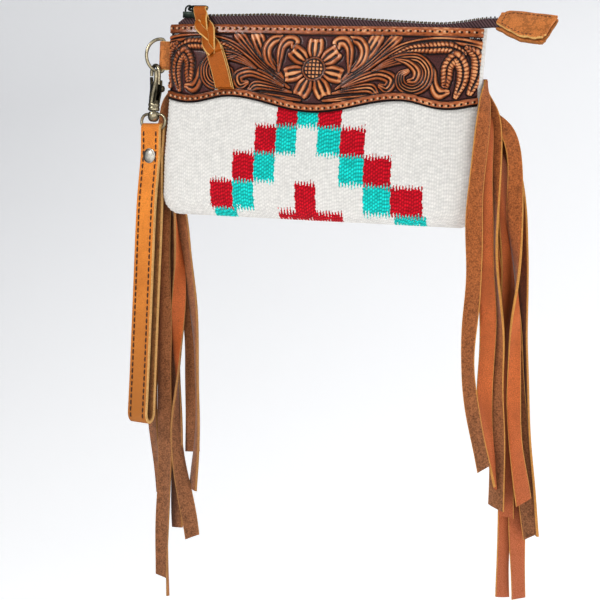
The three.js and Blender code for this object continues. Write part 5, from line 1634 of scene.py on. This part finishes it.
def make_backdrop():
    """A pale paper sweep: floor, bend and wall in one sheet."""
    start = FLOOR.back - FLOOR.bend
    bend = arc(-90, 0, FLOOR.bend_steps, FLOOR.bend, FLOOR.bend)[1:] + (start, FLOOR.z + FLOOR.bend)
    profile = [(FLOOR.front, FLOOR.z), (start, FLOOR.z), *bend, (FLOOR.back, FLOOR.z + FLOOR.height)]
    x = np.linspace(-FLOOR.half_width, FLOOR.half_width, FLOOR.columns)
    points = np.array([[(a, y, z) for a in x] for y, z in profile])
    mesh = bpy.data.meshes.new("backdrop")
    mesh.from_pydata(points.reshape(-1, 3).tolist(), [], grid_faces(*points.shape[:2])[:, ::-1].tolist())
    mesh.materials.append(matt_paper("stage_paper"))
    mesh.shade_smooth()
    backdrop = linked("backdrop", mesh)
    backdrop.visible_glossy = False


def make_lights():
    """Soft lamps and a pale surround."""
    for name, (place, size, power) in LIGHTS.items():
        data = bpy.data.lights.new(name, "AREA")
        data.energy = power
        data.shape = "DISK"
        data.size = size
        light = linked(name, data)
        light.location = place
        light.rotation_euler = (Vector(LIGHT_TARGET) - Vector(place)).to_track_quat("-Z", "Y").to_euler()
    world = bpy.data.worlds.new("studio")
    bpy.context.scene.world = world
    world.use_nodes = True
    tree = Tree(world.node_tree)
    seen = tree.node("LightPath").outputs["Is Camera Ray"]
    background = world.node_tree.nodes["Background"].inputs
    background["Color"].default_value = SURROUND.colour
    tree.feed(background["Strength"], tree.between(seen, SURROUND.light, SURROUND.seen))
    bpy.context.scene.view_settings.view_transform = "Standard"


# What a user can change

def colour_property(name, description, code):
    return bpy.props.FloatVectorProperty(
        name=name, description=description, subtype="COLOR", size=4, min=0.0, max=1.0, default=srgb(code))


def length_property(name, description, millimetres):
    return bpy.props.FloatProperty(
        name=name, description=description, subtype="DISTANCE", unit="LENGTH", min=0.0,
        default=millimetres * MM)


class ClutchFinish(bpy.types.PropertyGroup):
    """Colours of the clutch."""

    wool_white: colour_property("Wool white", "Undyed yarn", "F1EEE8")
    wool_red: colour_property("Wool red", "Red yarn", "CA0820")
    wool_turquoise: colour_property("Wool turquoise", "Turquoise yarn", "12D2C8")
    tooled_raised: colour_property("Tooling", "Raised parts of the tooled leather", "B05A2A")
    # Crest colour of the rubbed tops, partly a painted highlight
    tooled_crest: colour_property("Tooling crests", "Rubbed tops of the tooled leather", "E8A068")
    tooled_ground: colour_property("Tooling ground", "Matted ground of the tooled leather", "481916")
    tooled_cut: colour_property("Tooling cuts", "Antique dye in the cuts", "140705")
    yoke_edge: colour_property("Yoke edge", "Painted edge of the yoke", "17100F")
    thread_light: colour_property("Light thread", "Thread of the yoke's stitches", "E6B488")
    thread_dark: colour_property("Dark thread", "Thread of the strap's and end tab's stitches", "4E260F")
    strap_grain: colour_property("Strap leather", "Grain side of the wrist strap", "F68F36")
    tab_grain: colour_property("Tab leather", "Grain side of the end tab and ring tab", "DA8240")
    pull_grain: colour_property("Pull leather", "Grain side of the braided pull", "B45A04")
    tan_flesh: colour_property("Tan flesh", "Flesh side of the strap, tabs and pull", "B87A42")
    tan_edge: colour_property("Tan edge", "Raw edges of the tabs and pull", "E0AE66")
    strap_edge: colour_property("Strap edge", "Raw edges of the wrist strap", "DDAA68")
    # Darker colour of the strap's low part, and painted shade on the end tab's back edge
    handled: colour_property("Handled leather", "Low part of the strap, back edge of the end tab", "9C622F")
    fringe_grain: colour_property("Fringe grain", "Grain side of the fringe", "CC6833")
    fringe_suede: colour_property("Fringe suede", "Flesh side of the right fringe", "A0582A")
    fringe_shaded: colour_property("Shaded suede", "Flesh side of the left fringe", "A8663A")
    fringe_dull: colour_property("Dull suede", "Flesh side of the fringe low down", "885636")
    fringe_faded: colour_property("Faded grain", "Grain side of the fringe low down", "B96A4C")
    fringe_edge: colour_property("Fringe edge", "Raw edges of the right fringe", "D2924A")
    # Darker copy of the fringe edge colour: painted shade
    fringe_brown_edge: colour_property("Brown edge", "Raw edges of the left fringe", "B27E4A")
    zip_tape: colour_property("Zip tape", "Twill tape of the zip", "4B3537")
    zip_teeth: colour_property("Zip teeth", "Antiqued brass of the teeth", "6A5C40")
    dark_metal: colour_property("Dark metal", "Slider and pull", "39413A")
    brass: colour_property("Antique brass", "Ring, snap hook and swivel", "DCCDA9")
    nickel: colour_property("Nickel", "Rivet", "F2EBDC")
    paper: colour_property("Backdrop", "Paper of the stage", "E9EAEC")


class ClutchSizes(bpy.types.PropertyGroup):
    """Sizes of the fine detail."""

    yarn_width: length_property("Yarn width", "Width of one yarn bump in the weave", 1.6)
    yarn_length: length_property("Yarn length", "Length of one yarn bump in the weave", 2.7)
    yarn_height: length_property("Yarn height", "How far a yarn stands out", 0.5)
    relief_depth: length_property("Relief depth", "Scale of the tooled relief, 1 mm is as drawn", 1.6)
    tooth_pitch: length_property("Tooth pitch", "Distance between the zip's teeth", 1.35)
    stitch_pitch: length_property("Stitch pitch", "Distance between the strap's stitches", 4.6)


# Operators

class CLUTCH_OT_wool(bpy.types.Operator):
    """Weave the front and back wool panels"""

    bl_idname = "clutch.wool"
    bl_label = "Wool panels"

    def execute(self, context):
        wool_panel("front_wool", "front_panel", -1, context.scene.clutch_sizes)
        wool_panel("back_wool", "back_panel", 1, context.scene.clutch_sizes)
        return {"FINISHED"}


class CLUTCH_OT_yoke(bpy.types.Operator):
    """Carve the tooled leather yoke"""

    bl_idname = "clutch.yoke"
    bl_label = "Tooled yoke"

    def execute(self, context):
        tooled_yoke(context.scene.clutch_sizes)
        return {"FINISHED"}


class CLUTCH_OT_zip(bpy.types.Operator):
    """Make the zip's tapes, teeth, slider, pull and end tab"""

    bl_idname = "clutch.zip"
    bl_label = "Zip"

    def execute(self, context):
        zip_tape("front_tape", "zipper_tape_front", -1)
        zip_tape("back_tape", "zipper_tape_back", 1)
        zip_teeth(context.scene.clutch_sizes)
        zip_slider()
        zip_pull()
        end_tab_finish()
        return {"FINISHED"}


class CLUTCH_OT_braid(bpy.types.Operator):
    """Braid the leather pull"""

    bl_idname = "clutch.braid"
    bl_label = "Braided pull"

    def execute(self, context):
        braided_strip()
        return {"FINISHED"}


class CLUTCH_OT_metal(bpy.types.Operator):
    """Make the ring with its tab, the snap hook, gate and swivel eye"""

    bl_idname = "clutch.metal"
    bl_label = "Ring and snap hook"

    def execute(self, context):
        side_tab_finish()
        d_ring_wire()
        snap_hook_finish()
        gate_lever()
        swivel_eye_finish()
        return {"FINISHED"}


class CLUTCH_OT_strap(bpy.types.Operator):
    """Make the wrist strap with its stitches and rivet"""

    bl_idname = "clutch.strap"
    bl_label = "Wrist strap"

    def execute(self, context):
        wrist_strap_finish(context.scene.clutch_sizes)
        strap_rivet_finish()
        return {"FINISHED"}


class CLUTCH_OT_fringe(bpy.types.Operator):
    """Hang the leather fringe"""

    bl_idname = "clutch.fringe"
    bl_label = "Fringe"

    def execute(self, context):
        left_fringe()
        right_fringe()
        return {"FINISHED"}


class CLUTCH_OT_stage(bpy.types.Operator):
    """Set the camera, the paper sweep and the lights"""

    bl_idname = "clutch.stage"
    bl_label = "Stage"

    def execute(self, context):
        make_camera()
        make_backdrop()
        make_lights()
        return {"FINISHED"}


class CLUTCH_PT_panel(bpy.types.Panel):
    """Lists the steps in the order they are made"""

    bl_idname = "CLUTCH_PT_panel"
    bl_label = "Clutch wallet"
    bl_space_type = "VIEW_3D"
    bl_region_type = "UI"
    bl_category = "Clutch"

    def draw(self, context):
        for operator in OPERATORS:
            self.layout.operator(operator.bl_idname)
        for group in (context.scene.clutch_sizes, context.scene.clutch_finish):
            box = self.layout.box()
            for name in group.__annotations__:
                box.prop(group, name)


OPERATORS = (
    CLUTCH_OT_stage, CLUTCH_OT_wool, CLUTCH_OT_yoke, CLUTCH_OT_zip, CLUTCH_OT_braid,
    CLUTCH_OT_metal, CLUTCH_OT_strap, CLUTCH_OT_fringe,
)
CLASSES = (ClutchFinish, ClutchSizes, *OPERATORS, CLUTCH_PT_panel)


def register():
    for cls in CLASSES:
        bpy.utils.register_class(cls)
    bpy.types.Scene.clutch_finish = bpy.props.PointerProperty(type=ClutchFinish)
    bpy.types.Scene.clutch_sizes = bpy.props.PointerProperty(type=ClutchSizes)


def unregister():
    del bpy.types.Scene.clutch_sizes
    del bpy.types.Scene.clutch_finish
    for cls in reversed(CLASSES):
        bpy.utils.unregister_class(cls)


def main():
    register()
    for operator in OPERATORS:
        group, name = operator.bl_idname.split(".")
        getattr(getattr(bpy.ops, group), name)()


if __name__ == "__main__":
    main()
